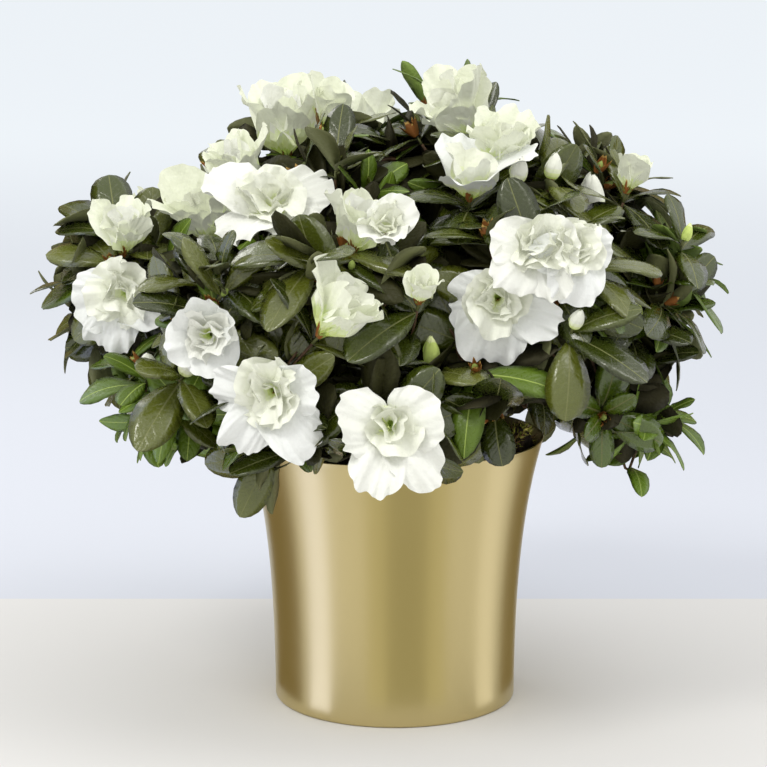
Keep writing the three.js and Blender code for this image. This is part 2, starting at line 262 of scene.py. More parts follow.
gold_mat, nt, p = node_mat("satin_gold", (0.60, 0.50, 0.250), rough=0.26, metal=1.0)
tc = nt.nodes.new("ShaderNodeTexCoord")
mp = nt.nodes.new("ShaderNodeMapping")
mp.inputs["Scale"].default_value = (1.0, 1.0, 90.0)      # fine spun lines round the pot
nt.links.new(tc.outputs["Object"], mp.inputs["Vector"])
line = nt.nodes.new("ShaderNodeTexNoise")
line.inputs["Scale"].default_value = 26
line.inputs["Detail"].default_value = 6
nt.links.new(mp.outputs["Vector"], line.inputs["Vector"])
mr = nt.nodes.new("ShaderNodeMapRange")
mr.inputs["To Min"].default_value = 0.27
mr.inputs["To Max"].default_value = 0.33
nt.links.new(line.outputs["Fac"], mr.inputs["Value"])
nt.links.new(mr.outputs["Result"], p.inputs["Roughness"])
bp = nt.nodes.new("ShaderNodeBump")
bp.inputs["Strength"].default_value = 0.02
bp.inputs["Distance"].default_value = 0.0002
nt.links.new(line.outputs["Fac"], bp.inputs["Height"])
nt.links.new(bp.outputs["Normal"], p.inputs["Normal"])


# ------------------------------------------------------------------ mesh gathering
class Batch:
    """Joins many small shapes of one kind into one mesh."""

    def __init__(self, name, mats, slot_name, uv=False):
        self.name, self.mats, self.slot_name, self.uv = name, mats, slot_name, uv
        self.v, self.f, self.m, self.t, self.n = [], [], [], [], 0

    def add(self, verts, faces, mats, uv=None, more=()):
        verts = np.asarray(verts, float)
        for fs, ms in ((faces, mats), *more):
            fs = np.asarray(fs, np.int64)
            self.f.append(fs + self.n)
            self.m.append(np.array(np.broadcast_to(np.asarray(ms), (len(fs),))))
        self.v.append(verts)
        if self.uv:
            self.t.append(uv if uv is not None else np.full((len(verts), 2), 0.5))
        self.n += len(verts)

    def points(self):
        return np.concatenate(self.v) if self.v else np.zeros((0, 3))

    def merge(self, other, shift=(0, 0, 0)):
        for f in other.f:
            self.f.append(f + self.n)
        self.m += other.m
        self.v.append(other.points() + np.asarray(shift))
        self.n += other.n

    def tris(self):
        return sum(len(f) * (f.shape[1] - 2) for f in self.f)

    def build(self, replaces=(), smooth_shade=True):
        if not self.v:
            return None
        faces = [row for f in self.f for row in f.tolist()]
        me = bpy.data.meshes.new(self.name)
        me.from_pydata((self.points() * MM).tolist(), [], faces)
        for mat in self.mats:
            me.materials.append(mat)
        me.polygons.foreach_set("material_index", np.concatenate(self.m).astype(np.int32))
        me.polygons.foreach_set("use_smooth", np.full(len(faces), smooth_shade))
        if self.uv:
            corner = np.zeros(len(me.loops), np.int32)
            me.loops.foreach_get("vertex_index", corner)
            layer = me.uv_layers.new(name="leaf")
            layer.data.foreach_set("uv", np.concatenate(self.t)[corner].astype(np.float32).ravel())
        me.update()
        ob = bpy.data.objects.new(self.name, me)
        bpy.context.scene.collection.objects.link(ob)
        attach(ob, "root")
        if replaces:
            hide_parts(*replaces)
        return ob


def grid_faces(rows, cols, closed=False):
    r = np.arange(rows - 1)[:, None]
    c = np.arange(cols if closed else cols - 1)[None, :]
    a = r * cols + c
    b = r * cols + (c + 1) % cols
    return np.stack([a, b, b + cols, a + cols], -1).reshape(-1, 4)


def tube(points, radii, sides, seed=0, relief=0.0, freq=0.5):
    """Closed tapering tube with pointed-in ends; relief roughens its wall."""
    P = np.asarray(points, float)
    R = np.asarray(radii, float)
    T = np.gradient(P, axis=0)
    T /= np.linalg.norm(T, axis=1)[:, None]
    n = unit(np.cross(T[0], [0.3, 0.9, 0.2]))
    rings = []
    a = np.arange(sides) / sides * 2 * math.pi
    for i in range(len(P)):
        n = unit(n - (n @ T[i]) * T[i])
        b = np.cross(T[i], n)
        rings.append(P[i] + R[i] * (np.cos(a)[:, None] * n + np.sin(a)[:, None] * b))
    V = np.concatenate(rings)
    if relief:
        C = np.repeat(P, sides, 0)
        out = V - C
        k = 1 + relief * (0.6 * wander(V, seed, freq) + 0.4 * wander(V, seed + 1, freq * 2.6))
        V = C + out * k[:, None]
    F = grid_faces(len(P), sides, True)
    V = np.concatenate([V, P[:1], P[-1:]])
    s, e = len(V) - 2, len(V) - 1
    i = np.arange(sides)
    j = (i + 1) % sides
    top = (len(P) - 1) * sides
    caps = np.concatenate([np.stack([np.full(sides, s), j, i, i], 1), np.stack([np.full(sides, e), top + i, top + j, top + j], 1)])
    return V, F, caps[:, :3]


def add_tube(batch, points, radii, sides, mat=0, **kw):
    V, F, caps = tube(points, radii, sides, **kw)
    batch.add(V, F, mat, more=((caps, mat),))


def curve3(p0, p1, p2, n):
    t = np.linspace(0, 1, n)[:, None]
    return (1 - t) ** 2 * p0 + 2 * t * (1 - t) * p1 + t * t * p2


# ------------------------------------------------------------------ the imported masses
MASS_NODES = sorted(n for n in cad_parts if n.startswith("leaves_"))
LIMB_NODES = sorted(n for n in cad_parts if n.startswith(("bough_", "branch_")))


def node_arrays(name):
    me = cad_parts[name].data
    v = np.zeros(len(me.vertices) * 3)
    me.vertices.foreach_get("co", v)
    me.calc_loop_triangles()
    t = np.zeros(len(me.loop_triangles) * 3, np.int32)
    me.loop_triangles.foreach_get("vertices", t)
    return v.reshape(-1, 3) / MM, t.reshape(-1, 3)


mass_mesh = {n: node_arrays(n) for n in MASS_NODES}
mass_centre = {n: v[t].mean((0, 1)) for n, (v, t) in mass_mesh.items()}
allv, allt, owner, off = [], [], [], 0
for k, n in enumerate(MASS_NODES):
    v, t = mass_mesh[n]
    allv.append(v)
    allt.append(t + off)
    owner += [k] * len(t)
    off += len(v)
allv, allt = np.concatenate(allv), np.concatenate(allt)
BVH = BVHTree.FromPolygons(allv.tolist(), allt.tolist())
CORE = np.array([0.0, 0.0, 215.0])


def surface_points(spacing, seed, keep=0.15):
    """Spread points over the outside of the masses: place, outward normal, mass."""
    g = rng(1, seed)
    tri = allv[allt]
    cr = np.cross(tri[:, 1] - tri[:, 0], tri[:, 2] - tri[:, 0])
    area = np.linalg.norm(cr, axis=1) / 2
    pick = g.choice(len(tri), size=9000, p=area / area.sum())
    uv = g.random((9000, 2))
    flip = uv.sum(1) > 1
    uv[flip] = 1 - uv[flip]
    pts, out = [], []
    for k, (a, b) in zip(pick, uv):
        p = tri[k, 0] + a * (tri[k, 1] - tri[k, 0]) + b * (tri[k, 2] - tri[k, 0])
        n = unit(cr[k])
        c = mass_centre[MASS_NODES[owner[k]]]
        if n @ (p - c) < 0:
            n = -n
        d = unit(p - CORE)
        if n @ d < keep:
            continue
        if pts and np.min(np.linalg.norm(np.array(pts) - p, axis=1)) < spacing:
            continue
        hit = BVH.ray_cast(Vector(p + n * 1.5), Vector(unit(n + 0.6 * d)), 30)
        if hit[0] is not None:
            continue
        pts.append(p)
        out.append((p, unit(n + 0.5 * d), owner[k]))
    return out


def seat(mass, across, up, side="front"):
    """A place on the crown, as fractions of the mass's own box seen from one side, and the
    surface's normal there."""
    if not (0 <= across <= 1 and 0 <= up <= 1):
        raise ValueError(f"{mass}: a place outside the mass's own box")
    lo, hi = (np.array(q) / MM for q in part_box("leaves_" + mass))
    x, z = lo[0] + across * (hi[0] - lo[0]), lo[2] + up * (hi[2] - lo[2])
    c = (lo + hi) / 2
    if side == "top":
        origin, ray = (x, lo[1] + up * (hi[1] - lo[1]), 500.0), (0, 0, -1)
    else:
        origin, ray = (x, -400.0, z), (0, 1, 0)
    hit = BVH.ray_cast(Vector(origin), Vector(ray), 900)
    if hit[0] is None or (side == "front" and hit[0][1] > c[1]):     # past the mass's edge: its nearest skin
        hit = BVH.find_nearest(Vector((x, lo[1] + 0.2 * (hi[1] - lo[1]), z)))
    p, n = np.array(hit[0]), np.array(hit[1])
    k = owner[hit[2]]
    if n @ (p - mass_centre[MASS_NODES[k]]) < 0:
        n = -n
    return p, n, k


# ------------------------------------------------------------------ camera
cam = bpy.data.cameras.new("camera")
cam.lens, cam.sensor_width = 119.98, 36
camera = bpy.data.objects.new("camera", cam)
camera.location = (-0.0064, -1.400, 0.444)
camera.rotation_euler = (math.pi / 2 - 0.1875, 0, 0)
bpy.context.scene.collection.objects.link(camera)
bpy.context.scene.camera = camera


# ------------------------------------------------------------------ pot
POT_H, POT_R0, POT_F2, POT_F4, WALL, FLOOR, SOIL_TOP = 149.6, 67.7, 9.0, 6.4, 1.4, 2.0, 139.0


def pot_r(z):
    u = np.asarray(z, float) / POT_H
    return POT_R0 + POT_F2 * u ** 2 + POT_F4 * u ** 4


def build_pot():
    prof = [(0.0, 0.0), (30, 0.0), (60, 0.0), (pot_r(0) - 2.0, 0.0)]
    for a in np.linspace(0, math.pi / 2, 6)[1:]:
        prof.append((pot_r(0) - 1.6 + 1.6 * math.sin(a), 1.6 - 1.6 * math.cos(a)))
    for z in np.linspace(4, POT_H - 0.75, 44):
        prof.append((float(pot_r(z)), z))
    rim = float(pot_r(POT_H))
    for a in np.linspace(0, math.pi, 9)[1:]:
        prof.append((rim - WALL / 2 + WALL / 2 * math.cos(a), POT_H - 0.7 + 0.7 * math.sin(a)))
    for z in np.linspace(POT_H - 3, FLOOR + 1, 14):
        prof.append((float(pot_r(z)) - WALL, z))
    prof += [(float(pot_r(FLOOR)) - WALL - 1, FLOOR), (30, FLOOR), (0.0, FLOOR)]
    prof = np.array(prof)
    sides = 192
    a = np.arange(sides) / sides * 2 * math.pi
    body = prof[1:-1]
    V = np.stack([body[:, :1] * np.cos(a), body[:, :1] * np.sin(a), np.repeat(body[:, 1:], sides, 1)], -1).reshape(-1, 3)
    b = Batch("gold_pot", [gold_mat], "pot_metal")
    F = grid_faces(len(body), sides, True)
    b.add(V, F, 0)
    n = b.n
    b.v.append(np.array([[0, 0, 0.0], [0, 0, FLOOR]]))
    i = np.arange(sides)
    j = (i + 1) % sides
    last = (len(body) - 1) * sides
    b.f.append(np.stack([np.full(sides, n), j, i], 1))
    b.m.append(np.zeros(sides, int))
    b.f.append(np.stack([np.full(sides, n + 1), last + i, last + j], 1))
    b.m.append(np.zeros(sides, int))
    b.n += 2
    return b.build(["pot"])


# ------------------------------------------------------------------ soil and moss
MOSS_RISE, MOSS_AT, MOSS_W = 21.0, (66.0, -26.0), 17.0


def soil_h(x, y):
    d2 = (x - MOSS_AT[0]) ** 2 + (y - MOSS_AT[1]) ** 2
    clump = MOSS_RISE * np.exp(-d2 / MOSS_W ** 2)
    away = smooth(18, 40, np.hypot(x, y))
    return SOIL_TOP + away * (clump + 1.1 * np.sin(x * 0.11 + 1.3) * np.cos(y * 0.13 - 0.4))


def blob(g, centre, size):
    """A small closed crumb."""
    t = (1 + 5 ** 0.5) / 2
    v = np.array([(-1, t, 0), (1, t, 0), (-1, -t, 0), (1, -t, 0), (0, -1, t), (0, 1, t), (0, -1, -t), (0, 1, -t),
                  (t, 0, -1), (t, 0, 1), (-t, 0, -1), (-t, 0, 1)]) / 1.9
    v = v * (0.75 + 0.5 * g.random((12, 1))) * size * (0.6 + 0.8 * g.random(3))
    f = [(0, 11, 5), (0, 5, 1), (0, 1, 7), (0, 7, 10), (0, 10, 11), (1, 5, 9), (5, 11, 4), (11, 10, 2), (10, 7, 6), (7, 1, 8),
         (3, 9, 4), (3, 4, 2), (3, 2, 6), (3, 6, 8), (3, 8, 9), (4, 9, 5), (2, 4, 11), (6, 2, 10), (8, 6, 7), (9, 8, 1)]
    return v @ basis(g.normal(size=3)).T + centre, f


def build_soil():
    b = Batch("peat_ball", [soil_mat], "soil")
    rings, sides = 46, 120
    a = np.arange(sides) / sides * 2 * math.pi
    edge = float(pot_r(SOIL_TOP)) - WALL - 1.2
    rows = []
    for z in (FLOOR + 0.4, 40, 80, 110, SOIL_TOP - 3):
        r = float(pot_r(z)) - WALL - 1.0
        rows.append(np.stack([r * np.cos(a), r * np.sin(a), np.full(sides, float(z))], 1))
    for k in range(rings):
        r = edge * (1 - k / rings)
        x, y = r * np.cos(a), r * np.sin(a)
        z = soil_h(x, y)
        P = np.stack([x, y, z], 1)
        z = z + (1.1 * wander(P, 3, 0.35) + 0.7 * wander(P, 4, 1.1)) * smooth(0, 3, edge - r) * smooth(10, 16, r)
        rows.append(np.stack([x, y, z], 1))
    V = np.concatenate(rows)
    b.add(V, grid_faces(len(rows), sides, True), 0)
    n = b.n
    b.v.append(np.array([[0, 0, FLOOR + 0.4], [0, 0, SOIL_TOP]]))
    i = np.arange(sides)
    j = (i + 1) % sides
    last = (len(rows) - 1) * sides
    b.f.append(np.stack([np.full(sides, n), j, i], 1))
    b.m.append(np.zeros(sides, int))
    b.f.append(np.stack([np.full(sides, n + 1), last + i, last + j], 1))
    b.m.append(np.zeros(sides, int))
    b.n += 2
    b.build(["soil"])
    g = rng(5)
    c = Batch("peat_crumbs", [soil_mat, bark_mat], "soil")
    for _ in range(620):
        r, t = edge * math.sqrt(g.random()) * 0.97, g.random() * 6.283
        x, y = r * math.cos(t), r * math.sin(t)
        if math.hypot(x, y) < 15:
            continue
        v, f = blob(g, (x, y, soil_h(x, y) + 0.5), 0.9 + 1.7 * g.random())
        c.add(v, f, int(g.random() < 0.2))
    c.build()
    mo = Batch("moss_clump", moss_lightened_mats, "soil")
    for _ in range(2600):
        r, t = 22 * math.sqrt(g.random()), g.random() * 6.283
        x, y = MOSS_AT[0] + r * math.cos(t), MOSS_AT[1] + r * math.sin(t)
        if math.hypot(x, y) > edge - 0.6:
            continue
        z = float(soil_h(x, y))
        if z < SOIL_TOP + 3.0:
            continue
        base = np.array([x, y, z - 0.6])
        d = unit(np.array([x - MOSS_AT[0] + 8, y - MOSS_AT[1], 14]) / 22 + g.normal(size=3) * 0.55)
        s = unit(np.cross(d, g.normal(size=3)))
        L, w = 2.2 + 3.2 * g.random(), 0.35 + 0.35 * g.random()
        bend = g.normal(size=3) * 0.6
        v = [base - s * w, base + s * w, base + d * L * 0.55 + s * w * 0.8 + bend * 0.3,
             base + d * L * 0.55 - s * w * 0.8 + bend * 0.3, base + d * L + bend]
        k = g.choice(3, p=[0.45, 0.27, 0.28])
        mo.add(v, [(0, 1, 2, 3)], k, more=(([(3, 2, 4)], k),))
    mo.build()


# ------------------------------------------------------------------ wood
TRUNK_TOP, LEAN = 176.0, (5.0, -2.0)
trunk_foot = np.array([0, 0, SOIL_TOP + 0.5])
trunk_head = np.array([LEAN[0], LEAN[1], TRUNK_TOP])
trunk_bend = np.array([LEAN[0] * 0.2, LEAN[1] * 0.2, (SOIL_TOP + TRUNK_TOP) / 2])


def trunk_point(z):
    t = min(max((z - trunk_foot[2]) / (TRUNK_TOP - trunk_foot[2]), 0), 1)
    return (1 - t) ** 2 * trunk_foot + 2 * t * (1 - t) * trunk_bend + t * t * trunk_head


CENTRES = {
    "low_left": (-109, -66, 196), "front_left": (-57, -113, 182), "front": (-3, -122, 185), "front_right": (47, -108, 199),
    "low_right": (124, -36, 159), "left": (-149, -14, 235), "middle_left": (-92, -90, 238), "middle_front": (-24, -108, 252),
    "middle_right": (68, -92, 250), "right": (141, -12, 231), "upper_left": (-85, 14, 283), "upper_front": (-30, -46, 290),
    "upper_middle": (52, -44, 291), "top_left": (-50, 26, 312), "top_right": (26, 22, 313), "upper_right": (104, 4, 278),
    "low_side_left": (-122, 34, 178), "back_left": (-109, 80, 244), "back": (-4, 118, 250), "back_right": (106, 80, 240),
    "low_back_left": (-82, 104, 182), "low_back": (2, 124, 183), "low_back_right": (85, 98, 176), "upper_back": (-6, 76, 287),
}
BOUGHS = {
    "bough_right": ("right", 163, -8, 22), "bough_front_right": ("front_right", 163, -66, 14),
    "bough_front_left": ("front_left", 163, -122, 14), "bough_left": ("left", 163, 186, 26),
    "bough_back_left": ("back_left", 163, 138, 26), "bough_back_right": ("back_right", 163, 50, 26),
    "bough_upper_front": ("upper_front", 173, -110, 64), "bough_top_left": ("top_left", 173, 165, 66),
    "bough_top_right": ("top_right", 173, 12, 66), "bough_upper_back": ("upper_back", 173, 88, 62),
}
BRANCHES = {
    "branch_low_left": ("bough_left", 0.34, "low_left"), "branch_middle_left": ("bough_top_left", 0.24, "middle_left"),
    "branch_front": ("bough_front_left", 0.34, "front"), "branch_middle_front": ("bough_upper_front", 0.3, "middle_front"),
    "branch_middle_right": ("bough_top_right", 0.26, "middle_right"), "branch_upper_middle": ("bough_top_right", 0.44, "upper_middle"),
    "branch_low_right": ("bough_right", 0.36, "low_right"), "branch_upper_right": ("bough_top_right", 0.34, "upper_right"),
    "branch_upper_left": ("bough_top_left", 0.34, "upper_left"), "branch_back": ("bough_upper_back", 0.3, "back"),
    "branch_low_back": ("bough_back_right", 0.26, "low_back"), "branch_low_back_right": ("bough_back_right", 0.48, "low_back_right"),
    "branch_low_back_left": ("bough_back_left", 0.34, "low_back_left"), "branch_low_side_left": ("bough_back_left", 0.22, "low_side_left"),
}


def build_wood():
    """Trunk, boughs and branches with bark; returns where each mass's wood ends inside it."""
    tr = Batch("bark_trunk", [bark_mat], "wood")
    n = 46
    t = np.linspace(0, 1, n)
    P = curve3(trunk_foot, trunk_bend, trunk_head, n)
    flare = 5.3 * np.exp(-t * 9)
    head = 1.0 * np.exp(-(((t - 0.72) / 0.2) ** 2))
    R = 8.2 - 0.9 * t + flare + head
    R *= np.where(t > 0.9, 1 - 0.35 * ((t - 0.9) / 0.1) ** 2, 1)
    add_tube(tr, P, R, 30, seed=11, relief=0.10, freq=0.55)
    tr.build(["trunk"])
    ends = {}
    bo = Batch("bark_boughs", [bark_mat], "wood")
    lines = {}
    for k, (name, (to, h, side, rise)) in enumerate(BOUGHS.items()):
        a, e = math.radians(side), math.radians(rise)
        out = np.array([math.cos(a) * math.cos(e), math.sin(a) * math.cos(e), math.sin(e)])
        s = trunk_point(h) + np.array([math.cos(a), math.sin(a), 0]) * (3.6 if h > 170 else 3)
        end = np.array(CENTRES[to], float)
        bend = s + out * np.linalg.norm(end - s) * 0.42
        lines[name] = (s, bend, end)
        L = np.linalg.norm(end - s)
        m = int(L / 2.2)
        P = curve3(s, bend, end, m)
        t = np.linspace(0, 1, m)
        keep = t < 0.93
        wig = np.stack([wander(P, 40 + 3 * k + q, 0.06) for q in range(3)], 1) * (0.9 * np.sin(t * math.pi))[:, None]
        P = P + wig * 0.5
        add_tube(bo, P[keep], (3.2 - 1.3 * t)[keep] * (1 + 0.05 * np.sin(t[keep] * 40)), 12, seed=60 + k, relief=0.11, freq=0.9)
        ends[to] = (P[keep][-1], unit(P[keep][-1] - P[keep][-4]), 1.9)
    bo.build([n for n in BOUGHS])
    br = Batch("bark_branches", [bark_mat], "wood")
    for k, (name, (src, along, to)) in enumerate(BRANCHES.items()):
        s0, b0, e0 = lines[src]
        s = (1 - along) ** 2 * s0 + 2 * along * (1 - along) * b0 + along ** 2 * e0
        tan = unit(2 * (1 - along) * (b0 - s0) + 2 * along * (e0 - b0))
        end = np.array(CENTRES[to], float)
        bend = s + (end - s) * 0.4 + tan * np.linalg.norm(end - s) * 0.12
        m = max(int(np.linalg.norm(end - s) / 2.2), 8)
        P = curve3(s, bend, end, m)
        t = np.linspace(0, 1, m)
        keep = t < 0.93
        add_tube(br, P[keep], (1.9 - 0.7 * t)[keep], 9, seed=90 + k, relief=0.11, freq=1.1)
        ends[to] = (P[keep][-1], unit(P[keep][-1] - P[keep][-4]), 1.2)
    br.build([n for n in BRANCHES])
    return ends


# ------------------------------------------------------------------ leaves
BOX_LO, BOX_HI = np.array(CAD_LO) / MM - 5.0, np.array(CAD_HI) / MM + 5.0
blooms = []                                  # base, axis, height and half width of each flower
ROOM = {"tall": (.68, .36), "open": (.44, .50), "wide": (.44, .54), "cup": (.58, .42), "trio": (.50, .44), "half": (.66, .27)}


def in_box(V):
    return bool((V >= BOX_LO).all() and (V <= BOX_HI).all())


def clear_of_pot(V, slack=0.8):
    r, z = np.hypot(V[:, 0], V[:, 1]), V[:, 2]
    inside = (z < POT_H + 0.6) & (r < pot_r(np.clip(z, 0, POT_H)) + slack)
    inside |= (r < 82) & (z < soil_h(V[:, 0], V[:, 1]) + 0.6)
    return not inside.any()


def clear_of_blooms(V):
    """Whether a leaf stays out of the funnel that each flower fills."""
    for c, ax, h, r in blooms:
        W = V - c
        if np.min(np.linalg.norm(W, axis=1)) > h + r:
            continue
        along = W @ ax
        off = np.linalg.norm(W - along[:, None] * ax, axis=1)
        if ((along > 1.0) & (along < 1.25 * h) & (off < r * np.clip(0.30 + 1.1 * along / h, 0, 1))).any():
            return False
    return True


def over_rim(V):
    """Whether a leaf hangs over the rim at the front of the pot."""
    return bool(((V[:, 2] < POT_H + 2) & (np.abs(V[:, 0] - 4) < 64) & (V[:, 1] < -45)).any())


ROWS = {"full": np.array([0, .07, .20, .36, .52, .67, .80, .91, .975, 1.0]), "plain": np.array([0, .10, .30, .55, .78, .93, 1.0])}


def leaf(L, W, fold, droop, curl, wave, g, rows, a=0.85, b=0.52):
    """One leaf: a closed thin blade with a pale midrib strip. +Y along, +Z its upper face."""
    U = ROWS[rows]
    top = a / (a + b)
    s = U ** a * (1 - U) ** b / (top ** a * (1 - top) ** b)
    s = np.maximum(s, np.where(U < 0.1, 1.3 / W, 0.0))
    s[-1] = 0.03
    cols = np.array([-1, -.52, -.02, .02, .52, 1.0])
    ang = 0.16 - droop * U ** 1.15
    ds = np.diff(U, prepend=0) * L
    side = np.cumsum(g.normal() * 0.05 * ds) * U       # a slight sideways sweep
    C = np.stack([side, np.cumsum(np.cos(ang) * ds), np.cumsum(np.sin(ang) * ds)], 1)
    ph = g.random() * 6.283
    X = cols[None, :] * (W / 2) * s[:, None]
    rib = np.abs(cols) < 0.1
    half = 0.50 - 0.30 * U
    X[:, rib] = np.sign(cols[rib])[None, :] * half[:, None]
    q = np.abs(cols)[None, :] * np.ones_like(X)
    H = fold * np.abs(X) - curl * 0.5 * W * q ** 3 * s[:, None]
    H = H + wave * np.sin(U[:, None] * 9 + ph + cols[None, :] * 2.1) * q ** 2 * s[:, None]
    N = np.stack([np.zeros(len(U)), -np.sin(ang), np.cos(ang)], 1)
    upper = C[:, None, :] + X[..., None] * np.array([1.0, 0, 0]) + H[..., None] * N[:, None, :]
    lower = upper[:, [2]] * 0.5 + upper[:, [3]] * 0.5 - 0.55 * N[:, None, :]
    R, K = X.shape
    V = np.concatenate([upper.reshape(-1, 3), lower.reshape(-1, 3)])
    uv = np.concatenate([np.stack([0.5 + 0.5 * np.tile(cols, R), np.repeat(U, K)], 1), np.stack([np.full(R, 0.5), U], 1)])
    F = grid_faces(R, K)
    r = np.arange(R - 1)
    mid = R * K
    low = np.concatenate([np.stack([r * K, (r + 1) * K, mid + r + 1, mid + r], 1),
                          np.stack([mid + r, mid + r + 1, (r + 1) * K + K - 1, r * K + K - 1], 1)])
    return V, F, low, np.tile(rib_strip, R - 1), uv


rib_strip = np.array([0, 0, 1, 0, 0], bool)


def spray(batch, p, n, axis, count, size, shade, g, rows="full", narrow=False, lower=2, top=None, fixed=False, spread=1.0, broad=0.41, need=4):
    """The leaves at the end of one shoot: a whorl, the oldest widest spread, and a few below
    it. The shoot's tip is set so far in that the leaves just reach the crown's skin."""
    B = basis(axis)
    a0 = g.random() * 6.283
    made = []
    for i in range(count + lower):
        below = i < lower
        age = 1.0 if below else 1 - (i - lower) / max(count - 1, 1)
        phi = a0 + i * math.radians(137.5) + g.normal() * 0.14
        rad = B[:, 0] * math.cos(phi) + B[:, 1] * math.sin(phi)
        tilt = (1.15 + 0.25 * g.random()) if below else (0.42 + 1.08 * age ** 0.75) * spread
        tilt += g.normal() * 0.14
        d = math.cos(tilt) * B[:, 2] + math.sin(tilt) * rad
        d = unit(d - np.array([0, 0, 0.10 + 0.16 * g.random()]) * age)
        L = size * (0.58 + 0.42 * math.sqrt(age)) * (0.86 + 0.28 * g.random()) * (0.85 if below else 1.0)
        back = -(9 + 15 * (lower - i) / max(lower, 1)) if below else 0.9 * (i - lower) - 2.0
        made.append((rad * 0.8 + B[:, 2] * back, d, math.sin(tilt) * B[:, 2] - math.cos(tilt) * rad, L))
    if fixed:
        c = p
    else:
        ext = max(float((o + d * L * 0.90) @ n) for o, d, _, L in made)
        c = p - n * float(np.clip(ext - (-2 + 7 * g.random()), 7, 36))
    kept = []
    for o, d, up, L in made:
        up = unit(up + np.array([0, 0, 0.3]))
        z = unit(up - (up @ d) * d)
        M = np.stack([np.cross(d, z), d, z], 1)
        W = L * ((0.35 + 0.08 * g.random()) if narrow else (broad + 0.13 * g.random()))
        k = shade
        if shade < MID and g.random() < 0.3:
            k = int(np.clip(shade + g.integers(-1, 2), 0, MID - 1))
        form = (0.8, 0.66) if narrow else (0.74 + 0.24 * g.random(), 0.50 + 0.14 * g.random())
        V, F, low, rib, uv = leaf(L, W, 0.04 + 0.26 * g.random() ** 1.5, 0.30 + 0.75 * g.random(), 0.05 + 0.16 * g.random(),
                                  0.3 + 0.8 * g.random(), g, rows, *form)
        V = V @ M.T + c + o
        if not in_box(V) or not clear_of_pot(V):
            continue
        if not clear_of_blooms(V) or over_rim(V):
            continue
        under = UNDER_DEEP_PAINTED_SHADE if k == DEEP_PAINTED_SHADE else UNDER_YOUNG if k >= MID else UNDER
        ribmat = k if k == DEEP_PAINTED_SHADE else RIB_YOUNG if k >= MID else RIB
        kept.append((V, F, np.where(rib, ribmat, k), uv, low, under))
    if len(kept) < need:
        return None
    for V, F, m, uv, low, under in kept:
        batch.add(V, F, m, uv=uv, more=((low, under),))
    if top is not None:
        kind, batch_b = top
        if c[1] < -40 and c[2] < 172:
            batch_b = unseen                    # no bud on a shoot that hangs over the rim
        if kind == "scales":
            scales(batch_b, c + B[:, 2] * 2.5, B[:, 2], 10.5, g, 11)
            tip_bud(batch_b, c + B[:, 2] * 2.5, B[:, 2], 7.5, 2, g)
        else:
            tip_bud(batch_b, c + B[:, 2] * 1.0, B[:, 2], 5.5 + 2.5 * g.random(), 2, g)
    return c


def tip_bud(batch, p, axis, length, mat, g):
    B = basis(axis)
    rows, sides = 6, 7
    u = np.linspace(0, 1, rows)
    r = 0.27 * length * np.sin(np.clip(u * 0.92 + 0.08, 0, 1) * math.pi) ** 0.8 + 0.05
    a = np.arange(sides) / sides * 2 * math.pi
    V = np.stack([r[:, None] * np.cos(a + u[:, None]), r[:, None] * np.sin(a + u[:, None]), np.repeat(u[:, None] * length, sides, 1)], -1)
    batch.add(V.reshape(-1, 3) @ B.T + p, grid_faces(rows, sides, True), mat)


